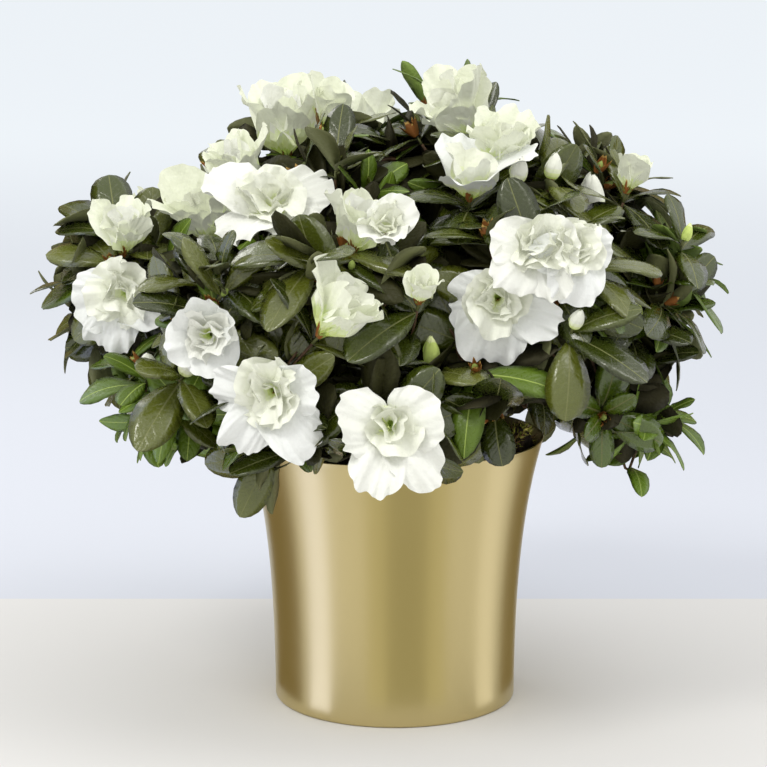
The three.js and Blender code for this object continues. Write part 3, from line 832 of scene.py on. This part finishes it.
# ------------------------------------------------------------------ flowers
def petal(L, W, th0, th1, ruffle, crimp, twist, g, rows, cols, wrap, hang=0.0):
    """One petal as a fan of veins from its claw to its margin. Gives x across, r outward and z
    along the flower's axis, and how far along the petal each point lies."""
    u = 1 - (1 - np.linspace(0, 1, rows)) ** 1.35      # rows close up towards the margin
    uu, vv = np.meshgrid(u, np.linspace(-1, 1, cols), indexing="ij")
    k = g.random(14) * 6.283
    n1, n2 = 1.2 + g.random(), 2.4 + 1.2 * g.random()
    fine = (cols - 1) / 3.7                     # crimps along the margin, as many as the columns carry
    a = vv * math.pi / 2
    shoulder = 0.40 + 0.07 * g.normal()
    w3 = math.pi * (fine * 0.36) * vv + k[3] + 1.3 * np.sin(2.3 * math.pi * vv + k[9])
    w4 = math.pi * (fine * 0.5) * vv + k[4] + 1.1 * np.sin(1.7 * math.pi * vv + k[10])
    lively = 0.55 + 0.45 * np.sin(2.3 * math.pi * vv + k[13])
    scallop = crimp / L * lively * (0.62 * np.sin(w3 + 1.4) + 0.50 * np.sin(w4 + 0.7))
    mx = W / 2 * np.sin(a) * (1 + scallop * 0.6)
    my = L * (shoulder + (1 - shoulder) * np.clip(np.cos(a), 0, 1) ** 0.70)
    my = my * (1 + scallop + 0.09 * math.sin(k[7]) * vv - 0.07 * np.exp(-(vv / 0.15) ** 2) * (g.random() < 0.5))
    x = 0.07 * W * vv * (1 - uu) + mx * uu * (1 + 0.13 * np.sin(math.pi * uu))
    s = my * uu / L
    S = np.linspace(0, 1.2, 30)
    th = th0 + (th1 - th0) * smooth(0.0, 0.75, S) + hang * smooth(0.5, 1.05, S)
    R = 1.2 + np.concatenate([[0], np.cumsum(np.sin(th[1:]) + np.sin(th[:-1])) / 2]) * L * S[1]
    Z = np.concatenate([[0], np.cumsum(np.cos(th[1:]) + np.cos(th[:-1])) / 2]) * L * S[1]
    T = np.interp(s, S, th)
    h = ruffle * uu ** 2 * (np.sin(math.pi * n1 * vv + k[1]) + 0.7 * np.sin(math.pi * n2 * vv + k[2] + uu))
    h = h + crimp * (0.4 + 0.8 * lively) * uu ** 6 * (np.sin(w3) + 0.8 * np.sin(w4))
    h = h + 0.42 * crimp * uu ** 1.5 * np.sin(math.pi * fine * 0.42 * vv + k[11])           # veins
    h = h + 0.24 * crimp * uu ** 1.1 * np.sin(math.pi * fine * 0.85 * vv + k[5] + 2.2 * uu) * (0.4 + lively)
    h = h + ruffle * 0.7 * np.abs(vv) ** 5 * smooth(0.2, 0.9, uu) * np.sin(9 * uu + k[8])
    h = h + ruffle * 0.45 * smooth(0.1, 0.5, uu) * np.sin(5.5 * uu + 2.4 * vv + k[12])      # crinkles
    h = h + wrap * x ** 2 / max(W, 1) * 1.5 * (1 - 0.5 * uu ** 2)
    h = h - 0.03 * L * np.exp(-(vv / 0.2) ** 2) * smooth(0.05, 0.4, uu) * (1 - 0.7 * uu)
    t = twist * uu
    x, h = x * np.cos(t) - h * np.sin(t), x * np.sin(t) + h * np.cos(t)
    return x, np.interp(s, S, R) - h * np.cos(T), np.interp(s, S, Z) + h * np.sin(T), s


def add_petal(batch, B, p, phi, args, g, rows, cols, white, wrap=0.5, green=1.0, hang=0.0):
    x, r, z, s = petal(*args, g, rows, cols, wrap, hang)
    er = B[:, 0] * math.cos(phi) + B[:, 1] * math.sin(phi)
    et = -B[:, 0] * math.sin(phi) + B[:, 1] * math.cos(phi)
    V = p + x[..., None] * et + r[..., None] * er + z[..., None] * B[:, 2]
    su = ((s[:-1, :-1] + s[1:, 1:]) / 2).ravel()
    m = np.full(len(su), white)
    # Lit petals keep their painted glow down into their cream green foot.
    m[su < 0.42 * green] = W_LIT_FOOT_PAINTED_GLOW if white == W_LIT_PAINTED_GLOW else W_CREAM
    m[su < 0.27 * green] = W_CREAMGREEN
    m[su < 0.14 * green] = W_THROAT
    batch.add(V.reshape(-1, 3), grid_faces(rows, cols), m)


def flower(axis, D, kind, g, q=1.0, droop_low=0.0):
    """A bloom with its base at the origin, facing along axis: outer petals, then smaller inner ones.
    Rings: number, length and width over D, angles from the axis at foot and tip, their scatter,
    ruffle and crimp over D, how far it wraps round, rows, columns, how far the green reaches."""
    P, S = Batch("p", petal_mats, None), Batch("s", bud_mats, None)
    B = basis(axis)
    outer, inner = (int(g.choice(2, p=[0.55, 0.45])), int(g.choice([0, 2], p=[0.4, 0.6])))
    a0 = g.random() * 6.283
    rings = {
        "open": [(5, .58, .53, 28, 86, 16, .030, .020, .05, 13, 47, .5), (4, .45, .50, 16, 50, 15, .038, .021, .38, 12, 41, .8),
                 (4, .38, .42, 9, 31, 12, .038, .017, .62, 10, 33, 1.0), (3, .30, .32, 4, 16, 9, .028, .009, .85, 8, 21, 1.4)],
        "wide": [(4, .64, .60, 26, 82, 18, .032, .020, .05, 13, 49, .5), (3, .48, .48, 12, 34, 14, .034, .014, .50, 11, 35, 1.0),
                 (3, .36, .34, 6, 16, 9, .028, .010, .80, 8, 21, 1.4)],
        "tall": [(5, .84, .60, 22, 36, 9, .032, .018, .50, 13, 43, .9), (4, .76, .54, 15, 25, 8, .032, .017, .70, 12, 37, 1.0),
                 (4, .68, .44, 9, 17, 8, .030, .014, .85, 10, 29, 1.1), (3, .56, .32, 5, 10, 6, .026, .010, .90, 8, 19, 1.4)],
        "cup": [(4, .66, .66, 20, 48, 12, .028, .019, .42, 12, 41, .7), (4, .59, .58, 15, 33, 10, .032, .018, .60, 11, 35, .9),
                (4, .50, .46, 10, 23, 9, .032, .015, .75, 9, 27, 1.1), (3, .40, .34, 5, 12, 8, .024, .009, .90, 8, 19, 1.4)],
        "trio": [(3, .70, .60, 30, 60, 10, .022, .009, .45, 12, 37, .7), (3, .52, .44, 14, 28, 9, .026, .012, .75, 10, 25, 1.1)],
        "half": [(4, .72, .58, 20, 28, 8, .020, .012, .85, 12, 25, .7), (4, .62, .50, 13, 17, 6, .022, .012, .95, 10, 21, .9),
                 (3, .52, .36, 6, 10, 4, .018, .010, 1.0, 8, 13, 1.2)],
    }[kind]
    top_at = math.atan2(B[2, 1], B[2, 0])        # where round the bloom its own top is
    for ri, (n, l, w, t0, t1, dt, ruf, crimp, wrap, rows, cols, green) in enumerate(rings):
        spots = ((-1.90, -0.62, 0.66, 1.90), (-1.55, -0.15, 1.30), (-1.15, 0.30, 1.75))[int(g.integers(0, 3))] if droop_low and ri == 0 else None
        for i in range(len(spots) if spots else n):
            phi = a0 + ri * 0.63 + i * 2 * math.pi / n + g.normal() * (0.19 + 0.07 * ri)
            if spots:
                phi = top_at + math.pi + spots[i] + g.normal() * 0.15
            er = B[:, 0] * math.cos(phi) + B[:, 1] * math.sin(phi)
            s = 0.80 + 0.36 * g.random()
            args = (l * D * s, w * D * (0.80 + 0.36 * g.random()), math.radians(t0), math.radians(t1 + g.normal() * dt * 0.6),
                    ruf * D, crimp * D, g.normal() * (0.24 + 0.12 * ri))
            low, high = max(0.0, -er[2]), max(0.0, er[2])
            if droop_low and ri == 0:            # in a bloom that faces out, the low petals are the long ones
                args = (args[0] * (1 + 0.24 * low), args[1] * (1 + 0.12 * low), args[2], args[3] - math.radians(26) * high, *args[4:])
            hang = droop_low * low + 0.20 * g.normal() * (ri == 0)
            # The two outer rings of tall and half blooms take the lit copies, with their stronger painted glow.
            add_petal(P, B, np.array([0, 0, 0.05 * D * (ri > 0)]) if droop_low else np.zeros(3), phi, args, g, max(int(rows * q), 6), max(int(cols * q), 7),
                      W_LIT_PAINTED_GLOW if kind in ("tall", "half") and ri < 2 else inner if ri else outer, wrap, green, hang)
    if kind == "wide":
        for i in range(4):
            d = unit(B[:, 2] + 0.24 * (B[:, 0] * g.normal() + B[:, 1] * g.normal()))
            add_tube(S, curve3(np.zeros(3), B[:, 2] * D * 0.15, d * D * (0.24 + 0.06 * g.random()), 5), [0.5, 0.46, 0.42, 0.4, 0.5], 5, mat=3)
    calyx(S, np.zeros(3), B, D, g)
    return P, S


def calyx(buds, base, B, D, g):
    """Five green sepals under a flower, round the top of its stalk."""
    for i in range(5):
        phi = i * 2 * math.pi / 5 + g.random() * 0.3
        er = B[:, 0] * math.cos(phi) + B[:, 1] * math.sin(phi)
        et = -B[:, 0] * math.sin(phi) + B[:, 1] * math.cos(phi)
        L, w = D * 0.15, D * 0.036
        b0 = base - B[:, 2] * 2.0
        v = [b0 + er * 1.2 - et * w * 0.6, b0 + er * 1.2 + et * w * 0.6,
             b0 + er * (2.2 + 0.12 * L) + et * w + B[:, 2] * L * 0.5, b0 + er * (2.2 + 0.12 * L) - et * w + B[:, 2] * L * 0.5,
             b0 + er * (2.4 + 0.3 * L) + B[:, 2] * L]
        buds.add(v, [(0, 1, 2, 3)], 2, more=(([(3, 2, 4)], 2),))


def scales(buds, p, axis, length, g, n=9):
    """Papery orange brown bud scales round the foot of a bud or flower."""
    B = basis(axis)
    for i in range(n):
        phi = i * math.radians(137.5) + g.normal() * 0.25
        er = B[:, 0] * math.cos(phi) + B[:, 1] * math.sin(phi)
        et = -B[:, 0] * math.sin(phi) + B[:, 1] * math.cos(phi)
        L = length * (0.5 + 0.6 * g.random())
        w = L * (0.15 + 0.10 * g.random())
        out = 0.08 + 0.40 * g.random()
        rows = []
        for u, ww in ((0, .55), (.3, 1.0), (.6, .85), (.85, .42), (1.0, .05)):
            c = p + er * (1.0 + L * out * u ** 1.3) + B[:, 2] * L * u * 0.9
            rows.append([c - et * w * ww, c + er * 0.14 * L * ww, c + et * w * ww])
        buds.add(np.array(rows).reshape(-1, 3), grid_faces(5, 3), np.where(np.arange(8) >= 6, 1, 0))


def closed_bud(axis, length, g, brown, green):
    """A bud of wrapped petals, foot at the origin, its lips just parting."""
    P, S = Batch("p", petal_mats, None), Batch("s", bud_mats, None)
    B = basis(axis)
    for k in range(5):
        rows, cols = 13, 10
        u = np.linspace(0, 1, rows)
        reach = length * (0.86 + 0.16 * g.random())
        r = length * ((0.21 if green else 0.26) + 0.02 * g.random()) * np.sin(np.clip(0.12 + 0.86 * u, 0, 1) ** 0.85 * math.pi) ** 0.62 + 0.22 * k * (1 - u)
        a = np.linspace(-1, 1, cols)
        ang = a[None, :] * (1.15 - 0.35 * u[:, None]) + k * 2 * math.pi / 5 + u[:, None] * 1.3
        lift = 0.13 * a[None, :] + 0.10 * smooth(0.75, 1.0, u)[:, None] * (1 + np.sin(5 * a[None, :] + k))
        rr = r[:, None] * (1 + lift) + 0.05
        zz = u[:, None] * reach * (1 - 0.07 * a[None, :] ** 2 * u[:, None])
        V = np.stack([rr * np.cos(ang), rr * np.sin(ang), zz], -1).reshape(-1, 3) @ B.T
        ru = np.repeat((u[:-1] + u[1:]) / 2, cols - 1)
        m = np.full((rows - 1) * (cols - 1), W_THROAT if green else 2)
        if green:
            m[ru > 0.82] = W_CREAMGREEN
        else:
            m[ru < 0.45] = W_CREAM
            m[ru < 0.24] = W_CREAMGREEN
            m[ru < 0.10] = W_THROAT
        P.add(V, grid_faces(rows, cols), m)
    if brown:
        scales(S, -B[:, 2] * length * 0.10, B[:, 2], max(length * 0.5, 8), g, 10)
    calyx(S, B[:, 2] * 1.0, B, length * 1.3, g)
    return P, S


# ------------------------------------------------------------------ the plant
# What each mass bears towards the front: which of five places across its own box and which of
# five up it, kind, width in millimetres, and which way it faces as (right, forward, up).
PLACES = (.1, .3, .5, .7, .9)
BEARS = {
    "left": [(.5, .5, "open", 57, (-.20, .95, .10)), (.5, .9, "tall", 38, (.10, .25, .96)), (.9, .3, "bud", 16, (.3, .6, .7))],
    "middle_left": [(.5, .3, "cup", 44, (-.15, .95, .10))],
    "low_left": [(.3, .7, "scaly", 15, (.1, .5, .85))],
    "upper_left": [(.1, .5, "tall", 50, (-.35, .45, .82)), (.5, .9, "tall", 40, (-.25, .30, .92))],
    "top_left": [(.3, .9, "tall", 52, (-.10, .25, .96)), (.7, .9, "half", 40, (.25, .35, .88))],
    "upper_front": [(.1, .5, "open", 64, (-.05, .66, .74)), (.7, .5, "tall", 40, (.25, .30, .92))],
    "middle_front": [(.5, .5, "tall", 46, (.60, .30, .74)), (.7, .9, "cup", 32, (.05, .85, .45)), (.9, .5, "half", 27, (.15, .55, .85)),
                     (.9, .1, "greenbud", 17, (0, .4, .9))],
    "top_right": [(.5, .9, "tall", 52, (-.50, .35, .79)), (.9, .7, "tall", 40, (.15, .50, .85))],
    "upper_middle": [(.3, .7, "trio", 58, (.05, .36, .93))],
    "middle_right": [(.5, .7, "open", 52, (-.05, .90, .40)), (.7, .7, "open", 52, (.45, .85, .30)), (.3, .3, "open", 63, (.00, .97, .08)),
                     (.7, .3, "bud", 12, (.2, .6, .75))],
    "front_left": [(.5, .7, "open", 59, (-.10, .97, .05))],
    "front": [(.5, .5, "wide", 56, (.05, .96, .12))],
    "upper_right": [(.3, .9, "scaly", 14, (.15, .2, .95)), (.1, .9, "bud", 15, (.1, .5, .85)), (.5, .7, "scaly", 24, (0, .25, .96)),
                    (.5, .5, "bud", 22, (.1, .35, .92)), (.9, .9, "half", 30, (.25, .10, .96))],
    "right": [(.3, .5, "greenscaly", 20, (0, .55, .82)), (.7, .9, "greenbud", 10, (.3, .2, .9))],
}
# How each kind of place grows: leaf length, share of young narrow sprays, share of mid green ones (the mid greens
# partly real tone, partly a painted glow of back-lit leaves).
HABIT = {"low_left": (38, .90, .08), "low_right": (38, .42, .42), "low_side_left": (38, .85, .1), "front_left": (42, .03, .12),
         "front_right": (50, .02, .12), "front": (44, .05, .10), "middle_front": (49, .03, .05), "right": (46, .03, .18),
         "left": (45, .02, .08), "middle_right": (47, .03, .12)}
BROAD = {"front_right": .52, "middle_front": .50, "left": .52, "front": .50}
GROUPS = {
    "front": ["front_left", "front", "front_right", "middle_front", "middle_right", "middle_left"],
    "left": ["low_left", "left", "low_side_left", "upper_left", "back_left", "low_back_left"],
    "right": ["low_right", "right", "back_right", "low_back_right", "upper_right"],
    "top": ["upper_front", "upper_middle", "top_left", "top_right", "upper_back", "back", "low_back"],
}
group_of = {m: k for k, ms in GROUPS.items() for m in ms}
mass_short = [n[len("leaves_"):] for n in MASS_NODES]
if set(mass_short) != set(group_of):
    raise RuntimeError(f"masses and foliage groups differ: {set(mass_short) ^ set(group_of)}")
leafage = {k: Batch(f"foliage_{k}", leaf_mats, "leaves", uv=True) for k in GROUPS}
blossom_front = {k: Batch(f"blossom_front_{k}", petal_mats, None) for k in ("left", "right")}
blossom_back = Batch("blossom_back", petal_mats, None)
bud_batch = Batch("buds_and_scales", bud_mats, None)
unseen = Batch("unseen", bud_mats, None)    # never built
shoots = Batch("twigs", [twig_mat, shoot_mat], "wood")
tips = []                                   # mass, place and axis of every shoot end

for at, reach in (((70.0, -6.0, 152.0), 50.0), ((74.0, -42.0, 160.0), 75.0)):      # the moss clump shows
    blooms.append((np.array(at), unit(np.array([0.05, -0.96, 0.20])), reach, 16.0))
wood_ends = build_wood()
build_pot()
build_soil()


def facing(f):
    return unit(np.array([f[0], -f[1], f[2]], float))


def set_in(parts, p, n, axis, proud):
    """Moves a flower so that it stands just proud of the crown, clear of pot and box."""
    V = np.concatenate([b.points() for b in parts if b.n])
    d = unit(axis + 0.35 * n)
    c = p - d * (float((V @ d).max()) - proud)
    for _ in range(14):
        W = V + c
        c = c + np.maximum(BOX_LO + 0.5 - W.min(0), 0) - np.maximum(W.max(0) - BOX_HI + 0.5, 0)
        if clear_of_pot(V + c):
            break
        c = c + unit([c[0], c[1], 0]) * 1.6 + np.array([0, 0, 0.5])
    return c


def bear(mass_k, p, n, kind, D, axis, g, target, q):
    if kind in ("bud", "scaly", "greenbud", "greenscaly"):
        P, S = closed_bud(axis, D, g, "scaly" in kind, "green" in kind)
        c = set_in((P, S), p, n, axis, 5)
        blooms.append((c, axis, D, D * 0.30))
    else:
        P, S = flower(axis, D, kind, g, q, droop_low=0.65 if kind in ("open", "wide") and axis[2] < 0.80 else 0.0)
        if kind in ("cup", "tall", "half", "trio") or g.random() < 0.35:
            scales(S, -axis * 2.0, axis, 12.5 if kind in ("cup", "tall", "half", "trio") else 8, g, 10)
        c = set_in((P, S), p, n, axis, 8)
        blooms.append((c, axis, D * ROOM[kind][0], D * ROOM[kind][1]))
    target.merge(P, c)
    bud_batch.merge(S, c)
    stem = c - axis * 7
    tips.append((mass_k, stem, axis))
    add_tube(shoots, np.array([stem, c - axis * 3, c]), [0.9, 0.85, 0.9], 6, mat=1)
    return c


stems = []
for mi, (mass, list_) in enumerate(BEARS.items()):
    for bi, (across, up, kind, D, f) in enumerate(list_):
        g = rng(2, mi, bi)
        if across not in PLACES or up not in PLACES:
            raise ValueError(f"{mass}: a bloom sits at one of five places across and five up its mass")
        p, n, k = seat(mass, across, up)
        c = bear(k, p, n, kind, D, facing(f), g, blossom_front["left" if p[0] < 0 else "right"], 1.0)
        if D >= 20:
            blooms.append((c + facing(f) * D * 0.25, unit(facing(f) + np.array([0, -1.1, 0.1])), D * 0.24, D * 0.50))
        stems.append((k, c, facing(f), D))
g = rng(6)
for p, n, k in surface_points(47, 2):
    if p[1] < 28 + 0.55 * max(0.0, p[2] - 250) or p[2] < 168 or g.random() < 0.10:
        continue
    if min(np.linalg.norm(p - c - ax * h * 0.5) - r for c, ax, h, r in blooms) < 15:
        continue
    kind = ["open", "cup", "half", "wide", "scaly", "tall"][int(g.choice(6, p=[0.34, 0.14, 0.12, 0.10, 0.12, 0.18]))]
    D = {"open": 58, "wide": 58, "cup": 44, "half": 34, "scaly": 18, "tall": 44}[kind] * (0.92 + 0.16 * g.random())
    axis = unit(n + np.array([0, 0, 0.30]) + g.normal(size=3) * 0.18)
    c = bear(k, p, n, kind, D, axis, g, blossom_back, 0.78)
    stems.append((k, c, axis, D))
for i, (k, c, axis, D) in enumerate(stems):     # the whorl of leaves under each flower
    g = rng(9, i)
    size, young, _ = HABIT.get(mass_short[k], (42, 0, 0))
    shade = MID if young > 0.5 else int(g.choice([0, 1, 2, 3]))
    spray(leafage[group_of[mass_short[k]]], c - axis * 8, axis, axis, 8, size, shade, g, lower=1, need=1, fixed=True, spread=1.18,
          broad=BROAD.get(mass_short[k], .42))

g = rng(7)
for layer, (spacing, rows, lower) in enumerate(((31.0, "full", 3), (32, "plain", 2))):
    for p, n, k in surface_points(spacing, 10 + layer, keep=0.02 if layer == 0 else 0.15):
        mass = mass_short[k]
        size, young, mid = HABIT.get(mass, (43, .05, .12))
        # The second layer: dark leaves deep inside the crown, their dark colour painted shade.
        if layer:
            axis = unit(n + g.normal(size=3) * 0.45)
            c = p - n * (47 + 6 * g.normal())
            if spray(leafage[group_of[mass]], c, n, axis, 6, size * 0.95, DEEP_PAINTED_SHADE, g, rows, lower=lower, fixed=True) is not None:
                tips.append((k, c - axis * 3, axis))
            continue
        axis = unit(0.80 * n + np.array([0, 0, 0.50 if n[2] > -0.2 else 0.15]) + g.normal(size=3) * 0.20)
        r = g.random()
        if r < young:
            shade, narrow, size = YOUNG if g.random() < 0.55 else MID, True, size * 0.95
        elif r < young + mid:
            # Mid green sprays: partly the leaves' own tone, partly a painted glow of back-lit leaves.
            shade, narrow = (MID if g.random() < 0.35 else 5), False
        else:
            shade, narrow = int(g.choice([0, 1, 2, 3, 4], p=[.26, .24, .20, .18, .12])), False
        if any(np.linalg.norm(p - c - ax * h * 0.5) < r0 * 0.8 for c, ax, h, r0 in blooms):
            continue
        top = ("scales", bud_batch) if g.random() < 0.55 else ("green", bud_batch) if g.random() < 0.7 else None
        c = spray(leafage[group_of[mass]], p, n, axis, int(g.integers(6, 9)), size, shade, g, rows, narrow, lower, top,
                  broad=BROAD.get(mass, .42))
        if c is not None:
            tips.append((k, c - axis * 3, axis))

# Twigs: from the end of each mass's wood through forks to every shoot and flower.
g = rng(8)
for k, short in enumerate(mass_short):
    mine = [(p, a) for kk, p, a in tips if kk == k]
    if not mine:
        continue
    start, heading, r0 = wood_ends[short]
    P = np.array([p for p, _ in mine])
    groups = max(1, min(5, len(mine) // 4))
    centres = P[g.choice(len(P), groups, replace=False)]
    for _ in range(6):
        lab = np.argmin(np.linalg.norm(P[:, None] - centres[None], axis=2), 1)
        centres = np.array([P[lab == q].mean(0) if (lab == q).any() else centres[q] for q in range(groups)])
    for q in range(groups):
        ids = np.where(lab == q)[0]
        if not len(ids):
            continue
        fork = start + (centres[q] - start) * 0.5
        first = curve3(start, start + heading * np.linalg.norm(fork - start) * 0.5, fork, 9)
        first[1:-1] += g.normal(size=(7, 3)) * 0.4
        add_tube(shoots, first, np.linspace(r0, r0 * 0.72, 9), 7, seed=200 + k, relief=0.06, freq=1.5)
        for t in ids:
            p, a = mine[t]
            q = p - a * 22.0
            line = curve3(fork, q - a * np.linalg.norm(q - fork) * 0.3, q, 7)
            line[1:-1] += g.normal(size=(5, 3)) * 0.45
            line = np.concatenate([line, [p - a * 11.0, p]])
            add_tube(shoots, line, np.linspace(r0 * 0.70, 0.8, 9), 6, seed=300 + int(t), relief=0.05, freq=1.5)
            add_tube(shoots, np.array([p, p + a * 2.0, p + a * 4.5]), [0.82, 0.78, 0.7], 6, mat=1)

for name, b in leafage.items():
    b.build([f"leaves_{m}" for m in GROUPS[name]])
for b in blossom_front.values():
    b.build()
blossom_back.build()
bud_batch.build()
shoots.build()

# ------------------------------------------------------------------ stage
def plane(name, corners, mat):
    me = bpy.data.meshes.new(name)
    me.from_pydata(corners, [], [(0, 1, 2, 3)])
    me.materials.append(mat)
    o = bpy.data.objects.new(name, me)
    bpy.context.scene.collection.objects.link(o)
    return o


EDGE = 0.195                    # far edge of the table
table_mat, _, _ = node_mat("pale_table", (0.705, 0.697, 0.686), rough=0.9, spec=0.0)
wall_mat, nt, p = node_mat("pale_backdrop", (0.8, 0.83, 0.88), rough=0.9, spec=0.0)
tc = nt.nodes.new("ShaderNodeTexCoord")
sp = nt.nodes.new("ShaderNodeSeparateXYZ")
painted_shade_fade = nt.nodes.new("ShaderNodeMapRange")       # painted shade: the near end, which the lamps light more, is coloured darker, grading to a brighter far end
painted_shade_fade.interpolation_type = "SMOOTHSTEP"
painted_shade_fade.inputs["From Min"].default_value = EDGE
painted_shade_fade.inputs["From Max"].default_value = 3.6
ramp = nt.nodes.new("ShaderNodeMix")
ramp.data_type = "RGBA"
ramp.inputs["A"].default_value = (0.632, 0.656, 0.718, 1)
ramp.inputs["B"].default_value = (0.883, 0.93, 0.975, 1)
nt.links.new(tc.outputs["Object"], sp.inputs[0])
nt.links.new(sp.outputs["Y"], painted_shade_fade.inputs["Value"])
nt.links.new(painted_shade_fade.outputs["Result"], ramp.inputs["Factor"])
nt.links.new(ramp.outputs["Result"], p.inputs["Base Color"])
plane("table", [(-14, -14, 0), (14, -14, 0), (14, EDGE, 0), (-14, EDGE, 0)], table_mat)
plane("backdrop", [(-14, EDGE, 0), (14, EDGE, 0), (14, 24, 0), (-14, 24, 0)], wall_mat)


def card(name, lo, hi, shine, color, height=0.34, first=0):
    """A card close round the pot, that shows in the band of the pot between two bearings from
    straight in front (degrees, to the right). It runs over the table from the pot's foot and
    then stands up. Only reflections see it: a bright one is a strip light, a dark one a flag."""
    m = bpy.data.materials.new(name)
    m.use_nodes = True
    p = m.node_tree.nodes["Principled BSDF"]
    p.inputs["Base Color"].default_value = (0.01, 0.01, 0.01, 1)
    p.inputs["Specular IOR Level"].default_value = 0.0
    p.inputs["Emission Color"].default_value = (*color, 1)
    p.inputs["Emission Strength"].default_value = shine
    n = 8
    v = []
    for d, z, r in ((0.080, 0.001, 0.068), (0.10, 0.001, 0.068), (0.13, 0.001, 0.069), (0.165, 0.001, 0.070),
                    (0.20, 0.001, 0.072), (0.20, height, 0.080))[first:]:
        for i in range(n + 1):
            q = math.radians(lo + (hi - lo) * i / n)
            q = 2 * q - math.asin(r * math.sin(q) / d)
            v.append((d * math.sin(q), -d * math.cos(q), z))
    me = bpy.data.meshes.new(name)
    me.from_pydata(v, [], [(r + i, r + i + 1, r + n + 2 + i, r + n + 1 + i) for r in range(0, (5 - first) * (n + 1), n + 1) for i in range(n)])
    me.materials.append(m)
    o = bpy.data.objects.new(name, me)
    bpy.context.scene.collection.objects.link(o)
    o.visible_camera = o.visible_diffuse = o.visible_shadow = o.visible_transmission = False
    return o


card("strip_left", -44, -32, 1.5, (0.95, 1.0, 1.42))
card("flag_left", -76, -50, 0.26, (1.0, 0.78, 0.34))
card("flag_front", -4, 15, 0.50, (1.0, 0.95, 0.66), 0.085, 1)
card("flag_front_left", -13, -4, 0.72, (1.0, 0.96, 0.70), 0.085, 1)
card("flag_front_right", 15, 24, 0.72, (1.0, 0.96, 0.70), 0.085, 1)
card("strip_right", 42, 54, 1.15, (1.0, 1.0, 1.08))
card("flag_right", 60, 80, 0.26, (1.0, 0.78, 0.34))

world = bpy.data.worlds.new("studio")
bpy.context.scene.world = world
world.use_nodes = True
bg = world.node_tree.nodes["Background"]
bg.inputs["Color"].default_value = (1.0, 1.0, 1.0, 1)
bg.inputs["Strength"].default_value = 0.955


def lamp(name, at, to, size, power, color=(1, 1, 1), size_y=None):
    L = bpy.data.lights.new(name, "AREA")
    L.energy, L.color, L.size = power, color, size
    if size_y:
        L.shape, L.size_y = "RECTANGLE", size_y
    o = bpy.data.objects.new(name, L)
    o.location = at
    o.rotation_euler = (Vector(to) - Vector(at)).to_track_quat("-Z", "Y").to_euler()
    bpy.context.scene.collection.objects.link(o)
    o.visible_camera = False
    return o


lamp("key_soft", (-0.75, -1.0, 1.55), (0, 0, 0.22), 0.5, 11, (1.0, 0.99, 0.95))
lamp("top_soft", (0.75, -0.55, 1.45), (0, 0, 0.2), 0.8, 6, (1.0, 0.99, 0.97))
lamp("rim_soft", (-0.75, 0.85, 0.95), (0, 0, 0.27), 0.45, 2.2, (1.0, 0.99, 0.95))

view = bpy.context.scene.view_settings
view.view_transform, view.look, view.exposure, view.gamma = "Standard", "None", 0.0, 1.0

print("TRIS", {b.name: b.tris() for b in [*leafage.values(), *blossom_front.values(), blossom_back, bud_batch, shoots]},
      "shoots", len(tips), "blooms", len(blooms))
